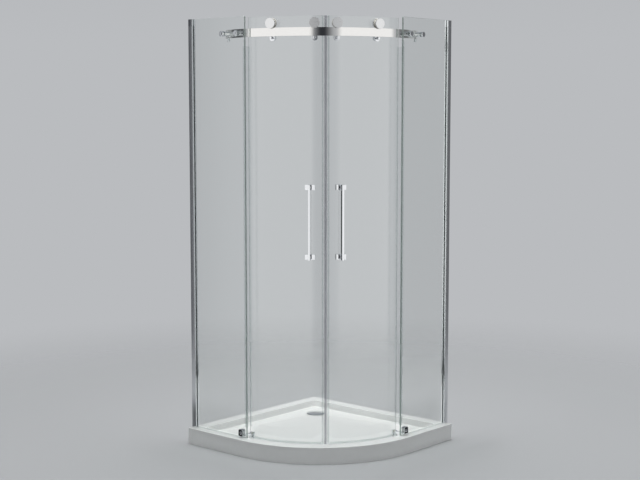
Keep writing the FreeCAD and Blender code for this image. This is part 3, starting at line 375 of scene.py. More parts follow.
# %% The turning tree
def turning_tree():
    tree, given, result = tree_with_inputs(
        "turned piece", ("Steps", "NodeSocketInt"), ("First Angle", "NodeSocketFloat"),
        ("Sweep", "NodeSocketFloat"), ("Finish", "NodeSocketMaterial"))
    parts = add(tree, "GeometryNodeSeparateGeometry", {
        "Geometry": given["Geometry"], "Selection": stored(tree, "spot", "BOOLEAN")}, domain="POINT")
    outline = parts.outputs["Inverted"]
    count = feed(tree, "GeometryNodeAttributeDomainSize", {"Geometry": outline})
    across = maths(tree, "ADD", given["Steps"], 1.0)
    grid = feed(tree, "GeometryNodeMeshGrid", {"Vertices X": count, "Vertices Y": across})
    index = feed(tree, "GeometryNodeInputIndex")
    column = maths(tree, "MODULO", index, across)
    row = maths(tree, "FLOOR", maths(tree, "DIVIDE", index, across))
    place = feed(tree, "GeometryNodeInputPosition")
    sample = feed(tree, "GeometryNodeSampleIndex", {"Geometry": outline, "Value": place, "Index": row},
                  data_type="FLOAT_VECTOR", domain="POINT")
    profile = add(tree, "ShaderNodeSeparateXYZ", {"Vector": sample}).outputs
    share = maths(tree, "DIVIDE", column, given["Steps"])
    angle = maths(tree, "MULTIPLY_ADD", share, given["Sweep"], given["First Angle"])
    x = maths(tree, "MULTIPLY", profile["X"], maths(tree, "COSINE", angle))
    y = maths(tree, "MULTIPLY", profile["X"], maths(tree, "SINE", angle))
    bent = feed(tree, "ShaderNodeCombineXYZ", {"X": x, "Y": y, "Z": profile["Z"]})
    moved = feed(tree, "GeometryNodeSetPosition", {"Geometry": grid, "Position": bent})
    copies = feed(tree, "GeometryNodeInstanceOnPoints", {
        "Points": parts.outputs["Selection"], "Instance": merged(tree, moved),
        "Rotation": stored(tree, "turn", "FLOAT_VECTOR")})
    coated(tree, copies, given["Finish"], result)
    return tree


TURNING = turning_tree()
print("turning tree:", len(TURNING.nodes), "nodes")

# %% [markdown]
# ## Extruded pieces
# Wall profiles, seal strips, handles and clamps are straight extrusions. A Solidify modifier would give them all
# one thickness, so a second tree raises every face of an object by the face's own height, and closes the bottom
# with the same faces turned over.


# %% The extruding tree
def extruding_tree():
    tree, given, result = tree_with_inputs("extruded piece", ("Finish", "NodeSocketMaterial"))
    up = feed(tree, "FunctionNodeInputVector", vector=(0, 0, 1))
    raised = feed(tree, "GeometryNodeExtrudeMesh", {
        "Mesh": given["Geometry"], "Offset": up, "Offset Scale": stored(tree, "height", "FLOAT"),
        "Individual": False}, mode="FACES")
    bottom = feed(tree, "GeometryNodeFlipFaces", {"Mesh": given["Geometry"]})
    both = add(tree, "GeometryNodeJoinGeometry")
    for half in (raised, bottom):
        tree.links.new(half, both.inputs["Geometry"])
    coated(tree, merged(tree, both.outputs["Geometry"]), given["Finish"], result)
    return tree


EXTRUDING = extruding_tree()
print("extruding tree:", len(EXTRUDING.nodes), "nodes")

# %% [markdown]
# ## From a tree to a finished piece
# So a tree's result is frozen, open ends are closed, and faces are turned outwards. A small bevel then softens
# every hard edge, as tooling and polishing do on the real piece, and weighted normals keep the flats flat beside
# it. Only after that is the piece tied to its body.


# %% Freezing a tree's result
def placed(name, data):
    """A new object in the scene."""
    piece = bpy.data.objects.new(name, data)
    scene.collection.objects.link(piece)
    return piece


def modified(piece, kind, **settings):
    """Gives a piece a modifier with its settings."""
    modifier = piece.modifiers.new(kind.lower(), kind)
    for name, value in settings.items():
        setattr(modifier, name, value)
    return modifier


def frozen(piece):
    """Swaps a piece's mesh for what its modifiers give, and removes them."""
    graph = bpy.context.evaluated_depsgraph_get()
    mesh = bpy.data.meshes.new_from_object(piece.evaluated_get(graph))
    piece.modifiers.clear()
    old, piece.data = piece.data, mesh
    bpy.data.meshes.remove(old)
    mesh.name = piece.name
    return piece


def reworked(mesh, edit):
    """Runs an edit on a mesh, and turns its faces outwards."""
    work = bmesh.new()
    work.from_mesh(mesh)
    edit(work)
    bmesh.ops.recalc_face_normals(work, faces=work.faces)
    work.to_mesh(mesh)
    work.free()


def with_tree(name, mesh, tree, **inputs):
    """An object whose mesh goes through a tree, frozen, closed and facing outwards."""
    piece = placed(name, mesh)
    modifier = modified(piece, "NODES", node_group=tree)
    sockets = {item.name: item.identifier for item in tree.interface.items_tree if item.in_out == "INPUT"}
    for label, value in inputs.items():
        modifier[sockets[label.replace("_", " ")]] = value
    frozen(piece)
    reworked(piece.data, lambda work: bmesh.ops.holes_fill(
        work, edges=[edge for edge in work.edges if edge.is_boundary], sides=0))
    return piece


# %% Turned and extruded pieces
def turned(name, outline, spots, finish, steps, first=0.0, sweep=360.0):
    """A turned piece from an outline of (radius, along) points, on every spot."""
    points = [(radius * MM, 0, along * MM) for radius, along in outline]
    places = [Vector(place) * MM for place, _ in spots]
    mesh = bpy.data.meshes.new(name)
    mesh.from_pydata(points + places, [], [])
    flags = [False] * len(points) + [True] * len(places)
    mesh.attributes.new("spot", "BOOLEAN", "POINT").data.foreach_set("value", flags)
    turns = [0.0] * 3 * len(points) + [math.radians(part) for _, turn in spots for part in turn]
    mesh.attributes.new("turn", "FLOAT_VECTOR", "POINT").data.foreach_set("vector", turns)
    return with_tree(name, mesh, TURNING, Steps=steps, First_Angle=math.radians(first),
                     Sweep=math.radians(sweep), Finish=FINISHES[finish])


def extruded(name, blocks, finish):
    """An extruded piece from blocks of (outline, low, high)."""
    points, faces, heights = [], [], []
    for outline, low, high in blocks:
        faces.append(list(range(len(points), len(points) + len(outline))))
        points += [(x * MM, y * MM, low * MM) for x, y in outline]
        heights.append((high - low) * MM)
    mesh = bpy.data.meshes.new(name)
    mesh.from_pydata(points, [], faces)
    mesh.attributes.new("height", "FLOAT", "FACE").data.foreach_set("value", heights)
    return with_tree(name, mesh, EXTRUDING, Finish=FINISHES[finish])


print("pieces come from outlines: turned on spots, or extruded in blocks")


# %% Softened and tied
def softened(piece, width, segments=2, limit=35):
    """Bevels the hard edges and keeps flat faces flat."""
    for polygon in piece.data.polygons:
        polygon.use_smooth = True
    modified(piece, "BEVEL", width=width * MM, segments=segments, limit_method="ANGLE",
             angle_limit=math.radians(limit), use_clamp_overlap=True, miter_outer="MITER_ARC")
    modified(piece, "WEIGHTED_NORMAL", keep_sharp=True)
    return frozen(piece)


def fitted(piece, body, node):
    """Ties a finished piece to its body, in place of a CAD node."""
    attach(piece, body)
    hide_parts(node)
    print(f"{piece.name}: {len(piece.data.polygons)} faces on {body}")


# %% [markdown]
# ## The tray
# The tray is one formed sheet: skirt, flat rim, drafted recess, and a floor that falls to the waste. It could be
# cut from a block, but a bow and soft bends come out cleaner from a loft, and the section is the same all round.
# So each point of the section, a distance in from the edge and a height, becomes a ring round the tray's outline.
# Rings near the waste are drawn in towards it, and the last ones are circles.

# %% Tray outline and section
BOW_STEPS, CORNER_STEPS, BEND_STEPS = 72, 6, 6
TRAY_TOP, FLOOR_HIGH, FLOOR_LOW, SEAT_HEIGHT, UNDERSIDE = 78, 47, 42, 39, 34


def corner_arc(x, y, radius, start):
    """Points of a quarter turn, counter-clockwise."""
    turns = [math.radians(start + 90 * step / CORNER_STEPS) for step in range(CORNER_STEPS + 1)]
    return [(x + radius * math.cos(turn), y + radius * math.sin(turn)) for turn in turns]


def tray_ring(inset, corner):
    """The tray's outline, moved in from its edge, with rounded corners."""
    near = HALF_SIDE - inset - corner
    bow = [math.radians(-90 + 90 * step / BOW_STEPS) for step in range(BOW_STEPS + 1)]
    radius = BOW_RADIUS - inset
    return [*corner_arc(-near, near, corner, 90), *corner_arc(-near, -near, corner, 180),
            *((BOW_X + radius * math.cos(turn), BOW_Y + radius * math.sin(turn)) for turn in bow),
            *corner_arc(near, near, corner, 0)]


def rounded_bend(start, bend, stop, radius):
    """Points that round one bend of a section."""
    start, bend, stop = Vector(start), Vector(bend), Vector(stop)
    back, ahead = (start - bend).normalized(), (stop - bend).normalized()
    half = back.angle(ahead) / 2
    reach = radius / math.tan(half)
    centre = bend + (back + ahead).normalized() * radius / math.sin(half)
    first, last = bend + back * reach - centre, bend + ahead * reach - centre
    swing = math.pi - 2 * half
    points = []
    for step in range(BEND_STEPS + 1):
        share = step / BEND_STEPS
        spoke = (first * math.sin((1 - share) * swing) + last * math.sin(share * swing)) / math.sin(swing)
        points.append(tuple(centre + spoke))
    return points


SKIRT, EDGE = (0, 0), (0, TRAY_TOP)
RIM, FLOOR_EDGE, LEDGE, WITHIN = (58, TRAY_TOP), (68, FLOOR_HIGH), (80, FLOOR_HIGH), (90, FLOOR_HIGH)
section = [(53, UNDERSIDE), (53, 73), (5, 73), (5, 0), SKIRT]
section += rounded_bend(SKIRT, EDGE, RIM, 4)
section += rounded_bend(EDGE, RIM, FLOOR_EDGE, 4)
section += rounded_bend(RIM, FLOOR_EDGE, WITHIN, 8) + [LEDGE]
print("tray section:", len(section), "points")

# %% Loft the tray
DRAIN = (-285, 285)
SEAT_RADIUS, BORE_RADIUS, FALL_SHARE = 52, 44, 0.25
SKIRT_CORNER, SKIRT_DEPTH, RECESS_CORNER, LEAST_CORNER = 3, 30, 82, 2


def drain_circle(outline, radius):
    """The points of an outline, drawn in to a circle about the waste."""
    circle = []
    for x, y in outline:
        away = Vector((x - DRAIN[0], y - DRAIN[1])).normalized() * radius
        circle.append((DRAIN[0] + away.x, DRAIN[1] + away.y))
    return circle


def tray_rings():
    """All rings of the tray, from its underside round the skirt and the rim to the waste."""
    rings = []
    for inset, height in section:
        corner = SKIRT_CORNER if inset < SKIRT_DEPTH else max(LEAST_CORNER, RECESS_CORNER - inset)
        rings.append([(x, y, height) for x, y in tray_ring(inset, corner)])
    ledge = [(x, y) for x, y, _ in rings[-1]]
    fall, seat = [], []
    for place, circle in zip(ledge, drain_circle(ledge, SEAT_RADIUS)):
        reach = math.dist(place, DRAIN)
        slope = max(0, SEAT_RADIUS - FALL_SHARE * reach) / ((1 - FALL_SHARE) * reach)
        low = [centre + (part - centre) * FALL_SHARE for part, centre in zip(place, DRAIN)]
        seat.append((*circle, FLOOR_LOW + (FLOOR_HIGH - FLOOR_LOW) * slope))
        fall.append((*low, FLOOR_LOW) if slope == 0 else seat[-1])
    rings += [fall, seat]
    for radius, height in ((SEAT_RADIUS, SEAT_HEIGHT), (BORE_RADIUS, SEAT_HEIGHT), (BORE_RADIUS, UNDERSIDE)):
        rings.append([(x, y, height) for x, y in drain_circle(ledge, radius)])
    return rings


def welded(work):
    bmesh.ops.remove_doubles(work, verts=work.verts, dist=MERGE)
    bmesh.ops.dissolve_degenerate(work, edges=work.edges, dist=MERGE)


def tray_shell():
    rings = tray_rings()
    count = len(rings[0])
    faces = []
    for row in range(len(rings)):
        this, following = row * count, (row + 1) % len(rings) * count
        for step in range(count):
            ahead = (step + 1) % count
            faces.append((this + step, this + ahead, following + ahead, following + step))
    mesh = bpy.data.meshes.new("tray_shell")
    mesh.from_pydata([(x * MM, y * MM, z * MM) for loop in rings for x, y, z in loop], [], faces)
    reworked(mesh, welded)
    mesh.materials.append(FINISHES["acrylic"])
    return softened(placed("tray_shell", mesh), 0.6, 2, 50)


fitted(tray_shell(), "cabin", "shower_tray")

# %% [markdown]
# ## Waste and feet
# A domed chrome cover lifts off a strainer in the waste. Cover, flange and seals are round, so each is an outline
# for the turning tree, and the dome is only a few more points. The strainer's holes are cut by a second turned
# piece. The feet repeat under the tray. They could be copied by hand, but one outline set on five spots keeps them
# alike.


# %% Spots and turned pieces that are tied
def upright(x, y, height=0):
    """A spot where a turned piece stands upright."""
    return (x, y, height), (0, 0, 0)


def rectangle(x_low, x_high, y_low, y_high):
    return [(x_low, y_low), (x_high, y_low), (x_high, y_high), (x_low, y_high)]


def ring(inner, outer, low, high):
    """The closed outline of a turned ring."""
    return rectangle(inner, outer, low, high) + [(inner, low)]


def joined(name, pieces):
    """One piece from several."""
    work = bmesh.new()
    for piece in pieces:
        work.from_mesh(piece.data)
    mesh = bpy.data.meshes.new(name)
    work.to_mesh(mesh)
    work.free()
    for finish in pieces[0].data.materials:
        mesh.materials.append(finish)
    for piece in pieces:
        bpy.data.objects.remove(piece)
    return placed(name, mesh)


def spun(name, node, slot, outline, spots, steps, edge, body="cabin", finish=None):
    """A turned piece, softened and tied to its body. It takes the slot's finish unless another is named."""
    fitted(softened(turned(name, outline, spots, finish or slot, steps), edge), body, node)


def spun_set(name, node, slot, shapes, steps, edge, body="cabin"):
    """Several turned pieces in one, from pairs of an outline and its spots."""
    pieces = [softened(turned("turned", outline, spots, slot, steps), edge) for outline, spots in shapes]
    fitted(joined(name, pieces), body, node)


DRAIN_SPOT = [upright(*DRAIN)]
print("waste stands at", DRAIN_SPOT[0][0])

# %% Waste
spun("drain_cover_disc", "drain_cover", "chrome", [
    (0, 34.3), (5, 34.3), (5, 43.5), (46, 43.5), (47.5, 43.3), (49, 43.9), (49, 44.7), (44, 45.9), (36, 46.8),
    (26, 47.5), (14, 47.9), (0, 48)], DRAIN_SPOT, 96, 0.4, "drain_cover")
spun("waste_cup", "waste_body", "waste_plastic", [
    (39.5, 42), (51, 42), (51, 40), (42, 40), (42, 12), (20, 12), (20, 0), (17.5, 0), (17.5, 14.5), (39.5, 14.5),
    (39.5, 42)], DRAIN_SPOT, 96, 0.5)
seals = [(ring(42.3, edge, low, low + 1), DRAIN_SPOT) for low, edge in ((39, 51), (33, 51.96))]
spun_set("waste_seal_rings", "waste_gaskets", "rubber", seals, 72, 0.3)

# %% Strainer with its ring of holes
STRAINER_HOLES, HOLE_CIRCLE = 8, 24


def bored(piece, cutter):
    """Cuts a piece with another, which is then removed."""
    modified(piece, "BOOLEAN", object=cutter, operation="DIFFERENCE", solver="EXACT")
    frozen(piece)
    bpy.data.objects.remove(cutter)
    return piece


basket = turned("strainer_basket", [(0, 34), (39.2, 34), (39.2, 14.5), (37.2, 14.5), (37.2, 32), (0, 32)],
                DRAIN_SPOT, "waste_plastic", 96)
hole_turns = [math.tau * step / STRAINER_HOLES for step in range(STRAINER_HOLES)]
hole_spots = [upright(DRAIN[0] + HOLE_CIRCLE * math.cos(turn), DRAIN[1] + HOLE_CIRCLE * math.sin(turn))
              for turn in hole_turns]
bored(basket, turned("holes", rectangle(0, 5, 30, 36), hole_spots, "waste_plastic", 24))
fitted(softened(basket, 0.3), "cabin", "drain_strainer")

# %% Feet
FOOT_INSET = 120
FOOT_FRONT = BOW_X + (BOW_RADIUS - FOOT_INSET) * math.cos(math.radians(45))
FOOT_PLACES = ((-330, -330), (330, 330), (-330, 60), (-60, 330), (FOOT_FRONT, -FOOT_FRONT))
foot_spots = [upright(x, y) for x, y in FOOT_PLACES]
spun("foot_stud_rods", "tray_foot_studs", "steel", rectangle(0, 5, 3, 32), foot_spots, 32, 0.8)
spun("foot_pad_discs", "tray_foot_pads", "black_plastic", [
    (0, 0), (21, 0), (22, 1), (22, 4), (10, 9), (5.05, 9), (5.05, 3), (0, 3)], foot_spots, 48, 0.5)
spun("foot_nut_hexes", "tray_foot_nuts", "steel", ring(5.05, 9.8, 14, 22), foot_spots, 6, 0.5)
spun("waste_backnut_hex", "waste_backnut", "waste_plastic", ring(42.05, 60, 24, 33), DRAIN_SPOT, 6, 1)

# %% [markdown]
# ## Wall profiles
# Each panel stands in two nested aluminium channels: one is screwed in place, and the other, which carries the
# glass, slides in it and is locked by small screws from inside. A soft gasket grips the glass, and a cap with a
# slot closes the top. Real profiles are pressed through a die, so extruding a section is the true way as well as
# the short one. The sections are drawn once, and mirrored by the place that the panel gives.

# %% Blocks on the panels
PROFILE_TOP, CABIN_TOP, PANEL_FOOT, GLASS_HALF = 1980, 2012, 81, 4


def on_panel(side, along, height):
    """A spot where a turned piece's own axis points square into the cabin from a panel."""
    return (*panel_point(side, along, 0), height), (0, 90, 90 if side == "left" else 180)


def panel_block(side, section, low, high):
    """A block on a fixed panel, from a section of (along, inward) points."""
    return [panel_point(side, along, inward) for along, inward in section], low, high


def both_panels(section, low, high):
    return [panel_block(side, section, low, high) for side in SIDES]


def drawn(name, node, slot, blocks, edge, segments=2, body="cabin"):
    """An extruded piece, softened and tied to its body."""
    fitted(softened(extruded(name, blocks, slot), edge, segments), body, node)


def mirrored(half):
    """A whole section from one half of it."""
    return half + [(along, -inward) for along, inward in reversed(half)]


print("left panel starts at", panel_point("left", 0, 0), "and the right one at", panel_point("right", 0, 0))

# %% Channels, gaskets, caps
WALL_HOLES, WALL_HOLE_RADIUS = (189, 749, 1309, 1869), 3
WALL_SECTION = mirrored([(0, -12), (22, -12), (22, -10.5), (1.5, -10.5)])
GLASS_SECTION = mirrored([(26, 5.5), (26, 12), (22, 12), (22, 10.1), (5, 10.1), (5, 8.6), (22, 8.6), (22, 7),
                          (12.5, 7)]) + [(14, -5.5), (14, 5.5)]
GASKET_SECTION = mirrored([(14, -5.5), (26, -5.5), (26, -GLASS_HALF), (16, -GLASS_HALF)])
CAP_SECTION = mirrored([(0, -12.5), (26.5, -12.5), (26.5, -4.3), (15.7, -4.3)])
for side in SIDES:
    outer = extruded(f"{side}_wall_profile", [panel_block(side, WALL_SECTION, TRAY_TOP, PROFILE_TOP)], "profile")
    hole_spots = [(place, (0, 90, turn[2] - 90))
                  for place, turn in (on_panel(side, 0, height) for height in WALL_HOLES)]
    bored(outer, turned("holes", rectangle(0, WALL_HOLE_RADIUS, -5, 5), hole_spots, "profile", 24))
    fitted(softened(outer, 0.3), "cabin", f"{side}_wall_channel")
    drawn(f"{side}_glass_profile", f"{side}_glass_channel", "profile",
          [panel_block(side, GLASS_SECTION, TRAY_TOP, PROFILE_TOP)], 0.5)
drawn("glazing_gasket_strips", "glazing_gaskets", "clear_pvc", both_panels(GASKET_SECTION, PANEL_FOOT, PROFILE_TOP),
      0.3)
drawn("profile_top_caps", "profile_caps", "chrome", both_panels(CAP_SECTION, PROFILE_TOP, CABIN_TOP), 0.9, 3)

# %% Locking screws
SCREW_HEIGHTS, SCREW_ALONG = (293, 1074, 1855), 9
spun("profile_lock_screws", "profile_screws", "chrome", [
    (0, 7.1), (2, 7.1), (2, 12), (4.5, 12), (4.5, 13.2), (3.5, 14.2), (1.6, 14.2), (1.3, 13), (0, 13)],
    [on_panel(side, SCREW_ALONG, height) for side in SIDES for height in SCREW_HEIGHTS], 32, 0.2)

# %% [markdown]
# ## Fixed panels
# A fixed panel is one flat sheet with three drilled holes: two for the rail's stand-offs, one for the bottom
# guide. A single face would do for a view from far off, but bent light needs a closed sheet. Its edges are ground,
# so a fine bevel runs round the sheet and each hole. A clear strip lies under it, and another wraps its free edge
# between guide and rail.

# %% Fixed glass
GLASS_START, PANEL_EDGE, PANEL_HOLE = 16, 358, 7
BOW_START, STANDOFFS, RAIL_MIDDLE = HALF_SIDE + BOW_X, (42, 131), 1938
GUIDE_BOLT = (326, 101)


def at_standoff(side, past):
    return on_panel(side, BOW_START - past, RAIL_MIDDLE)


def edged(pane, edge, facing):
    """Gives edge finishes to all of a pane but its two faces. Facing tells which way those look at a place.
    The foot is polished, and the rest takes the finish named."""
    pane.data.materials.clear()
    for finish in ("glass", edge, "polished_edge"):
        pane.data.materials.append(FINISHES[finish])
    for polygon in pane.data.polygons:
        if abs(polygon.normal.dot(facing(polygon.center))) < 0.9:
            polygon.material_index = 2 if polygon.normal.z < -0.5 else 1
        else:
            polygon.material_index = 0


for side in SIDES:
    sheet_section = rectangle(GLASS_START, PANEL_EDGE, -GLASS_HALF, GLASS_HALF)
    sheet = extruded(f"{side}_fixed_pane", [panel_block(side, sheet_section, PANEL_FOOT, CABIN_TOP)], "glass")
    hole_spots = [*(at_standoff(side, past) for past in STANDOFFS), on_panel(side, *GUIDE_BOLT)]
    bored(sheet, turned("holes", rectangle(0, PANEL_HOLE, -6, 6), hole_spots, "glass", 32))
    square = Vector((0, 1, 0) if side == "left" else (1, 0, 0))
    edged(softened(sheet, 0.7), "ground_edge", lambda place: square)
    fitted(sheet, "cabin", f"{side}_fixed_glass")

# %% Strips on the fixed glass
FOOT_START = 26
EDGE_START, EDGE_STOP, EDGE_FOOT, EDGE_TOP = 351, 360.5, 130, 1907
EDGE_SECTION = [*rectangle(EDGE_START, EDGE_STOP, -5.5, 5.5), (EDGE_START, GLASS_HALF), (PANEL_EDGE, GLASS_HALF),
                (PANEL_EDGE, -GLASS_HALF), (EDGE_START, -GLASS_HALF)]
foot_section = rectangle(FOOT_START, PANEL_EDGE, -GLASS_HALF, GLASS_HALF)
drawn("fixed_foot_strips", "fixed_bottom_seals", "clear_pvc", both_panels(foot_section, TRAY_TOP, PANEL_FOOT), 0.4)
drawn("fixed_edge_strips", "fixed_edge_seals", "clear_pvc", both_panels(EDGE_SECTION, EDGE_FOOT, EDGE_TOP), 0.5)

# %% [markdown]
# ## Rail
# The rail is a flat stainless bar bent to the bow. A curve with a bevelled profile could give it. A rectangle
# turned through 126 degrees about the bow's axis is exact, so the wheels sit right on it. Sunk holes for the
# stand-off screws are cut from inside, then every edge is softened by a polished radius. Stand-offs carry the rail
# on the fixed panels, and a pin under each end stops the doors.

# %% Rail bar
RAIL_INNER, RAIL_OUTER, RAIL_RADIUS, RAIL_FOOT, RAIL_TOP = 484, 494, 489, 1919, 1957
RAIL_SWEEP, SINK_RADIUS, SINK_DEPTH = 126, 9.3, 20
BOW_SPOT = [upright(BOW_X, BOW_Y)]


def rail_seat(past):
    """How far in from a panel's middle plane the rail's own middle lies, past the end of the bow."""
    return PANEL_PLANE + BOW_Y - math.sqrt(RAIL_RADIUS ** 2 - past ** 2)


rail = turned("rail_bar", ring(RAIL_INNER, RAIL_OUTER, RAIL_FOOT, RAIL_TOP), BOW_SPOT, "rail", RAIL_SWEEP,
              -45 - RAIL_SWEEP / 2, RAIL_SWEEP)
sinks = [turned("sink", rectangle(0, SINK_RADIUS, rail_seat(past), rail_seat(past) + SINK_DEPTH),
                [at_standoff(side, past) for side in SIDES], "rail", 40) for past in STANDOFFS]
fitted(softened(bored(rail, joined("sinks", sinks)), 1.2, 3, 40), "cabin", "top_rail")

# %% Stand-offs
STANDOFF_SHAPES = (
    ("caps", "caps", "chrome", 0.5, lambda seat: [[
        (0, -14.6), (7, -15), (11.2, -15), (12.5, -13.7), (12.5, -5), (4.05, -5), (4.05, -12.2), (0, -12.2)]]),
    ("spacers", "spacers", "chrome", 0.5, lambda seat: [ring(4.2, 11, 5, seat)]),
    ("screws", "screws", "steel", 0.5, lambda seat: [[
        (0, -12), (4, -12), (4, seat), (8.5, seat), (8.5, seat + 3), (7.5, seat + 4), (3.2, seat + 4),
        (2.9, seat + 1.6), (0, seat + 1.6)]]),
    ("washers", "gaskets", "clear_pvc", 0.25, lambda seat: [ring(4.2, 12, low, low + 1) for low in (-5, 4)]),
)
for name, node, slot, edge, outlines in STANDOFF_SHAPES:
    shapes = [(outline, [at_standoff(side, past) for side in SIDES])
              for past in STANDOFFS for outline in outlines(rail_seat(past))]
    spun_set(f"standoff_{name}", f"rail_standoff_{node}", slot, shapes, 48, edge)

# %% Rail stops
WHEEL_ANGLES, DOOR_TRAVEL = (5.9, 29.3), 30
STOP_REACH = 6 + 4 + 2.5 + 0.5  # anti-lift pin, stop pin, sleeve and gap
STOP_ANGLE = WHEEL_ANGLES[1] + DOOR_TRAVEL + math.degrees(STOP_REACH / RAIL_RADIUS)
stop_spots = [upright(*door_point(side, STOP_ANGLE, RAIL_RADIUS)) for side in SIDES]
spun("rail_stop_knobs", "rail_stop_pins", "chrome", [
    (0, 1904), (5, 1904), (6, 1905), (6, 1906.5), (4, 1906.5), (4, RAIL_FOOT), (3, RAIL_FOOT), (3, 1925), (0, 1925)],
    stop_spots, 40, 0.4)
spun("rail_stop_buffers", "rail_stop_sleeves", "clear_pvc", ring(4.05, 6.5, 1906.5, RAIL_FOOT), stop_spots, 40, 0.6)

# %% [markdown]
# ## Bottom guides
# Each guide clamps the fixed panel between two chrome plates. An arm reaches in to a hook that straddles the
# door's foot, with nylon buttons either side of the pane. The plates are drawn on the panel's face, with rounded
# top corners, and stood up there. The arm and the hook are extruded upwards, block by block. They could be fused
# into one mesh, but blocks that run into each other look the same and keep every edge clean.

# %% Guide sizes and blocks on the doors
PANE_MIDDLE, PANE_REAR = 470, 46.2
GUIDE_START, GUIDE_END, GUIDE_FOOT, GUIDE_TOP, GUIDE_ROUND, GUIDE_FACE = 312, 340, 84, 118, 8, 12
ARM_TOP, ARM_WIDE, ARM_ROOT, ARM_TIP = 95, 12, 11, 480
HOOK_FOOT, BRIDGE_TOP, HOOK_TOP, FINGER_HALF = 58, 64, 99, 5
# Outer finger, bridge under the pane, inner finger and its paddle.
HOOK_BLOCKS = (
    (477.5, 482.5, FINGER_HALF, HOOK_FOOT, HOOK_TOP), (457.5, 482.5, FINGER_HALF, HOOK_FOOT, BRIDGE_TOP),
    (457.5, 462.5, FINGER_HALF, HOOK_FOOT, HOOK_TOP), (457.5, 462.5, 12, HOOK_TOP - 17, HOOK_TOP))


def along_pane(length):
    """The angle that a length along a door takes."""
    return math.degrees(length / PANE_MIDDLE)


def door_block(side, angle, section, low, high):
    """A block on a door, from a section of (out, across) points."""
    return [door_point(side, angle, out, across) for out, across in section], low, high


HOOK_ANGLE = PANE_REAR - along_pane(7)
print(f"hooks stand {HOOK_ANGLE:.2f} degrees from the diagonal")

# %% Guide clamps and hooks
PLATE_OUTLINE = [(GUIDE_START, GUIDE_FOOT), (GUIDE_END, GUIDE_FOOT),
                 *corner_arc(GUIDE_END - GUIDE_ROUND, GUIDE_TOP - GUIDE_ROUND, GUIDE_ROUND, 0),
                 *corner_arc(GUIDE_START + GUIDE_ROUND, GUIDE_TOP - GUIDE_ROUND, GUIDE_ROUND, 90)]


def guide_plate(side, low, high):
    """A clamp plate, drawn along and up a panel's face, and stood up where that panel is."""
    def stand_up(work):
        for vertex in work.verts:
            along, height, inward = vertex.co
            x, y = panel_point(side, along / MM, inward / MM)
            vertex.co = x * MM, y * MM, height

    plate = extruded("plate", [(PLATE_OUTLINE, low, high)], "chrome")
    reworked(plate.data, stand_up)
    return softened(plate, 1.2, 3)


plates, arms = [], []
for side in SIDES:
    plates.append(guide_plate(side, -GUIDE_FACE, -GLASS_HALF))
    arms.append(guide_plate(side, GLASS_HALF, GUIDE_FACE))
    root = [panel_point(side, along, ARM_ROOT) for along in (GUIDE_END - ARM_WIDE, GUIDE_END)]
    # The tip's corners run on from the root's, so that the arm's outline doesn't cross itself.
    first = FINGER_HALF if side == "left" else -FINGER_HALF
    tip = [door_point(side, HOOK_ANGLE, ARM_TIP, across) for across in (first, -first)]
    blocks = [(root + tip, GUIDE_FOOT, ARM_TOP)]
    for near, far, half, low, high in HOOK_BLOCKS:
        blocks.append(door_block(side, HOOK_ANGLE, rectangle(near, far, -half, half), low, high))
    arms += [softened(extruded("block", [block], "chrome"), 0.8) for block in blocks]
fitted(joined("guide_outer_plates", plates), "cabin", "guide_clamp_plates")
fitted(joined("guide_hook_arms", arms), "cabin", "guide_arms")

# %% Guide bolts and buttons
BUTTON_RADIUS = 4.5


def on_door(side, angle, height):
    """A spot where a turned piece's own axis points straight out through the door."""
    return (BOW_X, BOW_Y, height), (0, 90, door_turn(side, angle))


spun("guide_clamp_bolts", "guide_bolts", "chrome", [
    (0, -13.2), (3, -13.2), (3.4, -15), (5.5, -15), (6.5, -14), (6.5, -12), (4, -12), (4, 12), (0, 12)],
    [on_panel(side, *GUIDE_BOLT) for side in SIDES], 40, 0.3)
button_spots = [on_door(side, HOOK_ANGLE, HOOK_TOP - BUTTON_RADIUS) for side in SIDES]
buttons = []
for root, rim, face in ((477.5, 475.5, 474.5), (462.5, 464.5, 465.5)):
    outline = [(0, root), (BUTTON_RADIUS, root), (BUTTON_RADIUS, rim), (BUTTON_RADIUS - 1, face), (0, face)]
    buttons.append((outline, button_spots))
spun_set("guide_nylon_buttons", "guide_sliders", "nylon", buttons, 40, 0.4)

# %% [markdown]
# ## Doors
# A door is a pane bent to the bow, hung from two wheels. Seals close it on all sides: a grey magnet strip with
# clear lips where the doors meet, a wiper below, and a clear fin behind that reaches to the fixed panel. A flat
# pane could be bent by a modifier, but turning it through part of a circle gives the true arc in even steps, and
# the wipers are made the same way. The upright strips are extruded from outlines with curved sides.

# %% Sizes and spots on the doors
PANE_INNER, PANE_OUTER, PANE_FRONT = 466, 474, along_pane(9.5)
AXLE_HEIGHT, PIN_HEIGHT = 1976.4, 1912
HANDLE_ANGLE, HANDLE_LOW, HANDLE_HIGH, PLATE_HEIGHT = 8.45, 922, 1261, 25
PLATE_SPANS = ((HANDLE_LOW, HANDLE_LOW + PLATE_HEIGHT), (HANDLE_HIGH - PLATE_HEIGHT, HANDLE_HIGH))


def at_wheels(side, height):
    return [on_door(side, angle, height) for angle in WHEEL_ANGLES]


def at_handle(side):
    return [on_door(side, HANDLE_ANGLE, (low + high) / 2) for low, high in PLATE_SPANS]


print(f"front edge of each pane {PANE_FRONT:.2f} degrees from the diagonal")

# %% Panes
PANE_FOOT, PANE_TOP = 76, 2009
AXLE_HOLE, PIN_HOLE, HANDLE_HOLE, CUT_NEAR, CUT_FAR = 8, 6.5, 6, 460, 480
bow_axis = Vector((BOW_X, BOW_Y, 0)) * MM


def bowed(name, side, outline, finish, start, steps):
    """A piece bent along a door, from an angle to the pane's rear edge."""
    first, last = sorted((door_turn(side, start), door_turn(side, PANE_REAR)))
    return turned(name, outline, BOW_SPOT, finish, steps, first, last - first)


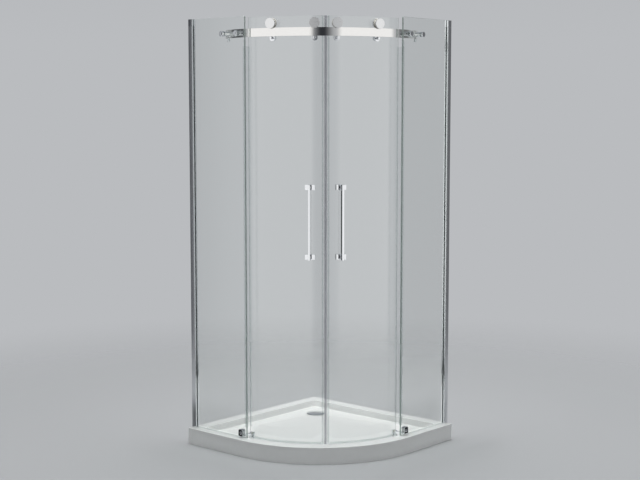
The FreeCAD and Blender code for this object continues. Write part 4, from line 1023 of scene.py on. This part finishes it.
def make_pane(side):
    outline = ring(PANE_INNER, PANE_OUTER, PANE_FOOT, PANE_TOP)
    pane = bowed(f"{side}_door_pane", side, outline, "glass", PANE_FRONT, 80)
    holes = ((at_wheels(side, AXLE_HEIGHT), AXLE_HOLE), (at_wheels(side, PIN_HEIGHT), PIN_HOLE),
             (at_handle(side), HANDLE_HOLE))
    bored(pane, joined("holes", [turned("hole", rectangle(0, radius, CUT_NEAR, CUT_FAR), spots, "glass", 32)
                                 for spots, radius in holes]))
    edged(softened(pane, 0.7, 2, 40), "polished_edge", lambda place: (place - bow_axis).xy.to_3d().normalized())
    fitted(pane, f"{side}_door", f"{side}_door_glass")


print(f"panes from {PANE_FOOT} to {PANE_TOP} mm")

# %% Door seals
# The faces that lie by the glass, and the faces turned away from it.
BED_INNER, BED_OUTER, SEAL_INNER, SEAL_OUTER = 465.7, 474.3, 464.2, 475.8
SEAL_FOOT, FIN_FOOT, FIN_TOP, FIN_TIP = 72, 127, 1879, 504
WIPER_SECTION = [(471, 66), (471, 74.5), (SEAL_OUTER, 74.5), (SEAL_OUTER, 83.5), (BED_OUTER, 83.5),
                 (BED_OUTER, 75.7), (BED_INNER, 75.7), (BED_INNER, 83.5), (SEAL_INNER, 83.5), (SEAL_INNER, 74.5),
                 (469, 74.5), (469, 66), (471, 66)]
CORE_START, CORE_STOP, FRONT_LIP = along_pane(0.25), along_pane(5), PANE_FRONT + along_pane(7.5)
REAR_LIP, FIN_END = PANE_REAR - along_pane(7.5), PANE_REAR + along_pane(2)


def arc(side, radius, start, stop, steps=6):
    """Points along a circle about the bow's axis, between two angles from the diagonal."""
    return [door_point(side, start + (stop - start) * step / steps, radius) for step in range(steps + 1)]


def make_seals(side):
    nose = arc(side, SEAL_OUTER, CORE_START, CORE_STOP) + arc(side, SEAL_INNER, CORE_STOP, CORE_START)
    sleeve = [*arc(side, SEAL_OUTER, CORE_STOP, FRONT_LIP), *arc(side, BED_OUTER, FRONT_LIP, PANE_FRONT),
              *arc(side, BED_INNER, PANE_FRONT, FRONT_LIP), *arc(side, SEAL_INNER, FRONT_LIP, CORE_STOP)]
    rear = [door_point(side, FIN_END, FIN_TIP), door_point(side, PANE_REAR, FIN_TIP),
            *arc(side, SEAL_OUTER, PANE_REAR, REAR_LIP), *arc(side, BED_OUTER, REAR_LIP, PANE_REAR),
            *arc(side, BED_INNER, PANE_REAR, REAR_LIP), *arc(side, SEAL_INNER, REAR_LIP, FIN_END)]
    for name, node, slot, block, edge in (
            ("magnet_strip", "front_seal", "magnet_pvc", (nose, SEAL_FOOT, PANE_TOP), 0.6),
            ("magnet_sleeve", "front_seal", "clear_pvc", (sleeve, SEAL_FOOT, PANE_TOP), 0.4),
            ("rear_fin_strip", "rear_seal", "clear_pvc", (rear, FIN_FOOT, FIN_TOP), 0.4)):
        drawn(f"{side}_{name}", f"{side}_{node}", slot, [block], edge, body=f"{side}_door")
    wiper = bowed(f"{side}_foot_wiper", side, WIPER_SECTION, "clear_pvc", PANE_FRONT + along_pane(9.5), 60)
    fitted(softened(wiper, 0.4), f"{side}_door", f"{side}_bottom_seal")


for side in SIDES:
    make_pane(side)
    make_seals(side)

# %% [markdown]
# ## Rollers
# Two grooved nylon wheels carry each door on the rail. Their axles pass through the glass to dome nuts inside, and
# satin discs hide them in front. Under the rail a pin with a round collar stops the door from lifting off. What
# only rides along is set on both wheel spots at once. A wheel turns on its own axle, so each one is a piece of its
# own.

# %% Wheels and their hardware
WHEEL_OUTLINE = [(6.05, 480), (9, 480), (9.6, 481.2), (17.4, 481.2), (18, 480), (22, 480), (23, 481), (23, 483.4),
                 (19, 483.4), (19, 494.6), (23, 494.6), (23, 499), (22, 500), (18, 500), (17.4, 498.8), (9.6, 498.8),
                 (9, 500), (6.05, 500), (6.05, 480)]
ROLLER_SHAPES = (
    ("wheel_axles", "roller_axles", "steel", "steel", AXLE_HEIGHT, [
        (0, 457.95), (6, 457.95), (6, 475.05), (11, 475.05), (11, 479.7), (6, 479.7), (6, 503.4), (0, 503.4)]),
    ("wheel_caps", "roller_caps", "chrome", "satin", AXLE_HEIGHT, [
        (0, 503.45), (6.05, 503.45), (6.05, 500.4), (23.5, 500.4), (23.5, 504), (23.1, 504.4), (0, 504.4)]),
    ("anti_lift_pins", "anti_lift_pins", "chrome", "chrome", PIN_HEIGHT, [
        (0, 457.95), (4.5, 457.95), (4.5, 475.05), (14, 475.05), (14, 482), (6, 482), (6, 496.2), (5.2, 497),
        (0, 497)]),
)
for side in SIDES:
    door = f"{side}_door"
    for name, node, slot, finish, height, outline in ROLLER_SHAPES:
        spots = at_wheels(side, height)
        spun(f"{side}_{name}_turned", f"{side}_{node}", slot, outline, spots, 64, 0.5, door, finish)
    nuts = []
    for height, bore, radius in ((AXLE_HEIGHT, 6.05, 14), (PIN_HEIGHT, 4.55, 10)):
        outline = [(0, 457.9), (bore, 457.9), (bore, 464.95), (radius, 464.95), (radius, 458.5),
                   (radius - 1.2, 456), (radius - 4, 453.95), (0, 453.95)]
        nuts.append((outline, at_wheels(side, height)))
    spun_set(f"{side}_dome_nuts", f"{side}_roller_nuts", "chrome", nuts, 48, 0.5, door)
    for end, angle in zip(("front", "rear"), WHEEL_ANGLES):
        wheel, spot = f"{side}_{end}_wheel", on_door(side, angle, AXLE_HEIGHT)
        spun(f"{side}_{end}_grooved_wheel", wheel, "nylon", WHEEL_OUTLINE, [spot], 72, 0.5, wheel)

# %% [markdown]
# ## Handles
# A flat bar stands off the glass on short posts and plates. Bolts come through the glass from plates inside, with
# round heads. One box could be cut down to that shape, but blocks that run into each other, each with softened
# edges, look like the welded bar. A thin clear pad with one curved face beds each flat plate on the curved pane.

# %% Handles and bolts
BAR_NEAR, BAR_FAR, BAR_HALF = 495, 520, 5
POST_NEAR, POST_FAR, POST_HALF = 480.5, 495.5, 6
OUTER_SEAT, INNER_SEAT, OUTER_FACE, INNER_FACE, PLATE_HALF = 475, 465, 481, 459, 23
BOLT_OUTLINE = [(0, 457), (2.6, 457), (3, 455.5), (5.5, 455.5), (6.5, 456.5), (6.5, 459), (4, 459), (4, 487),
                (0, 487)]


def handle_block(side, near, far, half, low, high):
    """A block of the handle, between two distances from the bow's axis and two heights."""
    block = door_block(side, HANDLE_ANGLE, rectangle(near, far, -half, half), low, high)
    return softened(extruded("block", [block], "chrome"), 0.9, 3)


def make_handle(side):
    door = f"{side}_door"
    blocks = [handle_block(side, BAR_NEAR, BAR_FAR, BAR_HALF, HANDLE_LOW, HANDLE_HIGH)]
    for low, high in PLATE_SPANS:
        middle = (low + high) / 2
        blocks += [handle_block(side, POST_NEAR, POST_FAR, POST_HALF, middle - POST_HALF, middle + POST_HALF),
                   handle_block(side, OUTER_SEAT, OUTER_FACE, PLATE_HALF, low, high)]
    fitted(joined(f"{side}_pull_bar", blocks), door, f"{side}_handle")
    backs = [handle_block(side, INNER_FACE, INNER_SEAT, PLATE_HALF, low, high) for low, high in PLATE_SPANS]
    fitted(joined(f"{side}_pull_backs", backs), door, f"{side}_handle_backplates")
    spun(f"{side}_pull_bolts", f"{side}_handle_bolts", "chrome", BOLT_OUTLINE, at_handle(side), 40, 0.3, door)


print(f"handles from {HANDLE_LOW} to {HANDLE_HIGH} mm")

# %% Pads and washers on the doors' glass
PAD_STEPS, WASHER_LOWS, WASHER_THICK = 8, (474.25, 464.95), 0.8


def pad_section(flat, curve):
    """A pad's outline: flat against the plate, and curved against the pane."""
    spread = [PLATE_HALF - 2 * PLATE_HALF * step / PAD_STEPS for step in range(PAD_STEPS + 1)]
    rounded = [(math.sqrt(curve ** 2 - across ** 2), across) for across in spread]
    return [(flat, -PLATE_HALF), (flat, PLATE_HALF), *rounded]


def make_pads(side):
    beds = [extruded("pad", [door_block(side, HANDLE_ANGLE, pad_section(flat, curve), low, high)], "clear_pvc")
            for low, high in PLATE_SPANS for flat, curve in ((OUTER_SEAT, BED_OUTER), (INNER_SEAT, BED_INNER))]
    for height, bore, edges in ((AXLE_HEIGHT, 6.2, (11, 14)), (PIN_HEIGHT, 4.7, (14, 10))):
        for low, edge in zip(WASHER_LOWS, edges):
            outline = ring(bore, edge, low, low + WASHER_THICK)
            beds.append(turned("washer", outline, at_wheels(side, height), "clear_pvc", 40))
    washers = softened(joined(f"{side}_glass_washers", beds), 0.2)
    fitted(washers, f"{side}_door", f"{side}_door_gaskets")


for side in SIDES:
    make_handle(side)
    make_pads(side)

# %% [markdown]
# ## What the CAD already has right
# The board under the tray is a plain sheet. A new mesh would look no different, so its CAD shape stays and only
# takes the plywood finish.

# %% Board
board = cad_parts["tray_base_board"]
board.data.materials.clear()
board.data.materials.append(plywood)
print("board keeps its CAD shape")

# %% [markdown]
# ## Floor, light and camera
# Glass and chrome only show what is round them, so the studio does the work: a pale floor that fades out into a
# pale backdrop, one large lamp overhead, and a softbox on each side. A picture could be wrapped round for the
# metal to mirror, but cards can be put where they are needed, as in a photo of any polished ware: white ones on
# each side and overhead, and dark ones beside the camera, at both sides, behind, and low by the tray. A bowed rail
# then shows white, dark, white. The camera stands where the photo was taken from: its lens, distance and height
# come from a fit to the tray's and the rail's corners.

# %% Floor that fades into the backdrop
FLOOR_HALF, FADE_START, FADE_STOP = 6.0, 0.9, 4.0


def faded(tree, value, start, stop):
    """A soft step from 0 at the start to 1 at the stop."""
    span = {"Value": value, "From Min": start, "From Max": stop}
    return feed(tree, "ShaderNodeMapRange", span, interpolation_type="SMOOTHSTEP")


def stage_sheet(name, half_width, half_height, finish):
    """A flat stage sheet about its own origin."""
    mesh = bpy.data.meshes.new(name)
    corners = rectangle(-half_width, half_width, -half_height, half_height)
    mesh.from_pydata([(x, y, 0) for x, y in corners], [], [(0, 1, 2, 3)])
    mesh.materials.append(finish)
    sheet = placed(name, mesh)
    return sheet


def pale_floor():
    finish, tree, coords = new_finish("pale_floor")
    away = add(tree, "ShaderNodeVectorMath", {0: coords}, operation="LENGTH").outputs["Value"]
    matt = principled(tree, {"Base Color": linear("#b6b8ba"), "Roughness": 0.6})
    show(tree, mixed(tree, faded(tree, away, FADE_START, FADE_STOP), matt, clear(tree)))
    return finish


stage_sheet("studio_floor", FLOOR_HALF, FLOOR_HALF, pale_floor())
print(f"floor fades from {FADE_START} to {FADE_STOP} m")

# %% Backdrop all round
SKY_TONES = ((0.05, "#babcbf"), (0.7, "#909498"))
FILL_COLOUR, FILL_STRENGTH = "#eceef0", 0.24
world = bpy.data.worlds.new("studio_backdrop")
scene.world = world
world.use_nodes = True
sky = world.node_tree
sky.nodes.clear()
way = add(sky, "ShaderNodeTexCoord").outputs["Generated"]
up = add(sky, "ShaderNodeSeparateXYZ", {"Vector": way}).outputs["Z"]
tone = add(sky, "ShaderNodeValToRGB", {"Fac": up})
for element, (place, colour) in zip(tone.color_ramp.elements, SKY_TONES):
    element.position, element.color = place, linear(colour)
plain = feed(sky, "ShaderNodeBackground", {"Color": tone.outputs["Color"], "Strength": 1.0})
fill = feed(sky, "ShaderNodeBackground", {"Color": linear(FILL_COLOUR), "Strength": FILL_STRENGTH})
rays = add(sky, "ShaderNodeLightPath").outputs
mirror = maths(sky, "MAXIMUM", rays["Is Glossy Ray"], rays["Is Transmission Ray"])
seen = maths(sky, "MAXIMUM", rays["Is Camera Ray"], mirror)
add(sky, "ShaderNodeOutputWorld", {"Surface": mixed(sky, seen, fill, plain)})
print("backdrop for camera, mirror and glass alike")

# %% Cards for the metal to mirror
TOP_PLACE = (-0.3, 0.3, 6.0)
CORE_UP = 0.4


def card(name, colour, compass, spread, core, distance=7.0, low=-3.0, high=7.0):
    """An upright card at a compass angle, spread to both sides of it, that only shows in reflections.
    Its tone is full over a core and fades towards the edges."""
    reach, half = distance * math.tan(math.radians(spread)), (high - low) / 2
    finish, tree, coords = new_finish(name)
    across, up, _ = add(tree, "ShaderNodeSeparateXYZ", {"Vector": coords}).outputs
    edges = [faded(tree, maths(tree, "ABSOLUTE", part), stop, stop * full)
             for part, stop, full in ((across, reach, core), (up, half, CORE_UP))]
    # Rays that were mirrored at least once see the card, also through glass.
    bounces = add(tree, "ShaderNodeLightPath").outputs["Glossy Depth"]
    seen = maths(tree, "GREATER_THAN", bounces, 0.5)
    share = maths(tree, "MULTIPLY", maths(tree, "MULTIPLY", *edges), seen)
    glow = feed(tree, "ShaderNodeEmission", {"Color": linear(colour), "Strength": 1.0})
    show(tree, mixed(tree, share, clear(tree), glow))
    sheet = stage_sheet(name, reach, half, finish)
    turn = math.radians(compass)
    sheet.location = (distance * math.cos(turn), distance * math.sin(turn), (low + high) / 2)
    sheet.rotation_euler = (math.radians(90), 0, turn - math.radians(90))
    sheet.visible_camera = sheet.visible_diffuse = sheet.visible_shadow = False
    return sheet


card("left_white_card", "#ffffff", -93, 40, 0.85)
card("right_white_card", "#ffffff", 5.5, 36.5, 0.75)
card("front_dark_card", "#34363a", -45, 15, 0.1)
card("left_dark_card", "#34363a", -146, 13, 0.6)
card("right_dark_card", "#6a6b6d", 56, 12, 0.4)
card("back_dark_card", "#303234", 158, 24, 0.3)
# Low ones stand just off the tray, for the bottom guides.
card("left_low_card", "#1c1d1f", -90, 50, 0.8, 0.6, -0.2, 0.2)
card("right_low_card", "#1c1d1f", 0, 50, 0.8, 0.6, -0.2, 0.2)
# One lies overhead in the lamp's place, so that tops shine no brighter than white.
ceiling = card("ceiling_card", "#ffffff", 0, 15, 0.8, low=-1.9, high=1.9)
ceiling.location, ceiling.rotation_euler = TOP_PLACE, (0, 0, 0)
print("three white cards and six dark ones")


# %% Lamps
def soft_lamp(name, place, target, width, height, power):
    """A large softbox that faces a target, and that neither camera, metal nor glass shows."""
    lamp = bpy.data.lights.new(name, "AREA")
    lamp.shape = "RECTANGLE"
    lamp.size, lamp.size_y = width, height
    lamp.energy = power
    stand = placed(name, lamp)
    stand.location = place
    stand.rotation_euler = (Vector(target) - Vector(place)).to_track_quat("-Z", "Y").to_euler()
    stand.visible_camera = stand.visible_transmission = stand.visible_glossy = False


soft_lamp("top_softbox", TOP_PLACE, (0, 0, 0), 3.6, 3.6, 315)
for name, place in (("left_softbox", (-1.9, -4.1, 3.0)), ("right_softbox", (4.3, 1.2, 3.0))):
    soft_lamp(name, place, (0, 0, 1.2), 3.4, 2.2, 20)
print("three soft lamps")

# %% Camera
CAMERA_AZIMUTH, CAMERA_DISTANCE, CAMERA_HEIGHT = math.radians(41.378), 6.1147, 1.604
CAMERA_YAW, CAMERA_DOWN, CAMERA_FOCUS = 41.418, 5.849, 1293.2
SENSOR, IMAGE_WIDTH = 36.0, 640
lens = bpy.data.cameras.new("photo_camera")
lens.sensor_width = SENSOR
lens.lens = CAMERA_FOCUS / IMAGE_WIDTH * SENSOR
camera = placed("photo_camera", lens)
camera.location = (CAMERA_DISTANCE * math.sin(CAMERA_AZIMUTH), -CAMERA_DISTANCE * math.cos(CAMERA_AZIMUTH),
                   CAMERA_HEIGHT)
camera.rotation_euler = (math.radians(90 - CAMERA_DOWN), 0, math.radians(CAMERA_YAW))
scene.camera = camera
scene.view_settings.view_transform = "Standard"
print(f"lens {lens.lens:.1f} mm at {CAMERA_DISTANCE:.2f} m")

# %% Update the scene
bpy.context.view_layer.update()
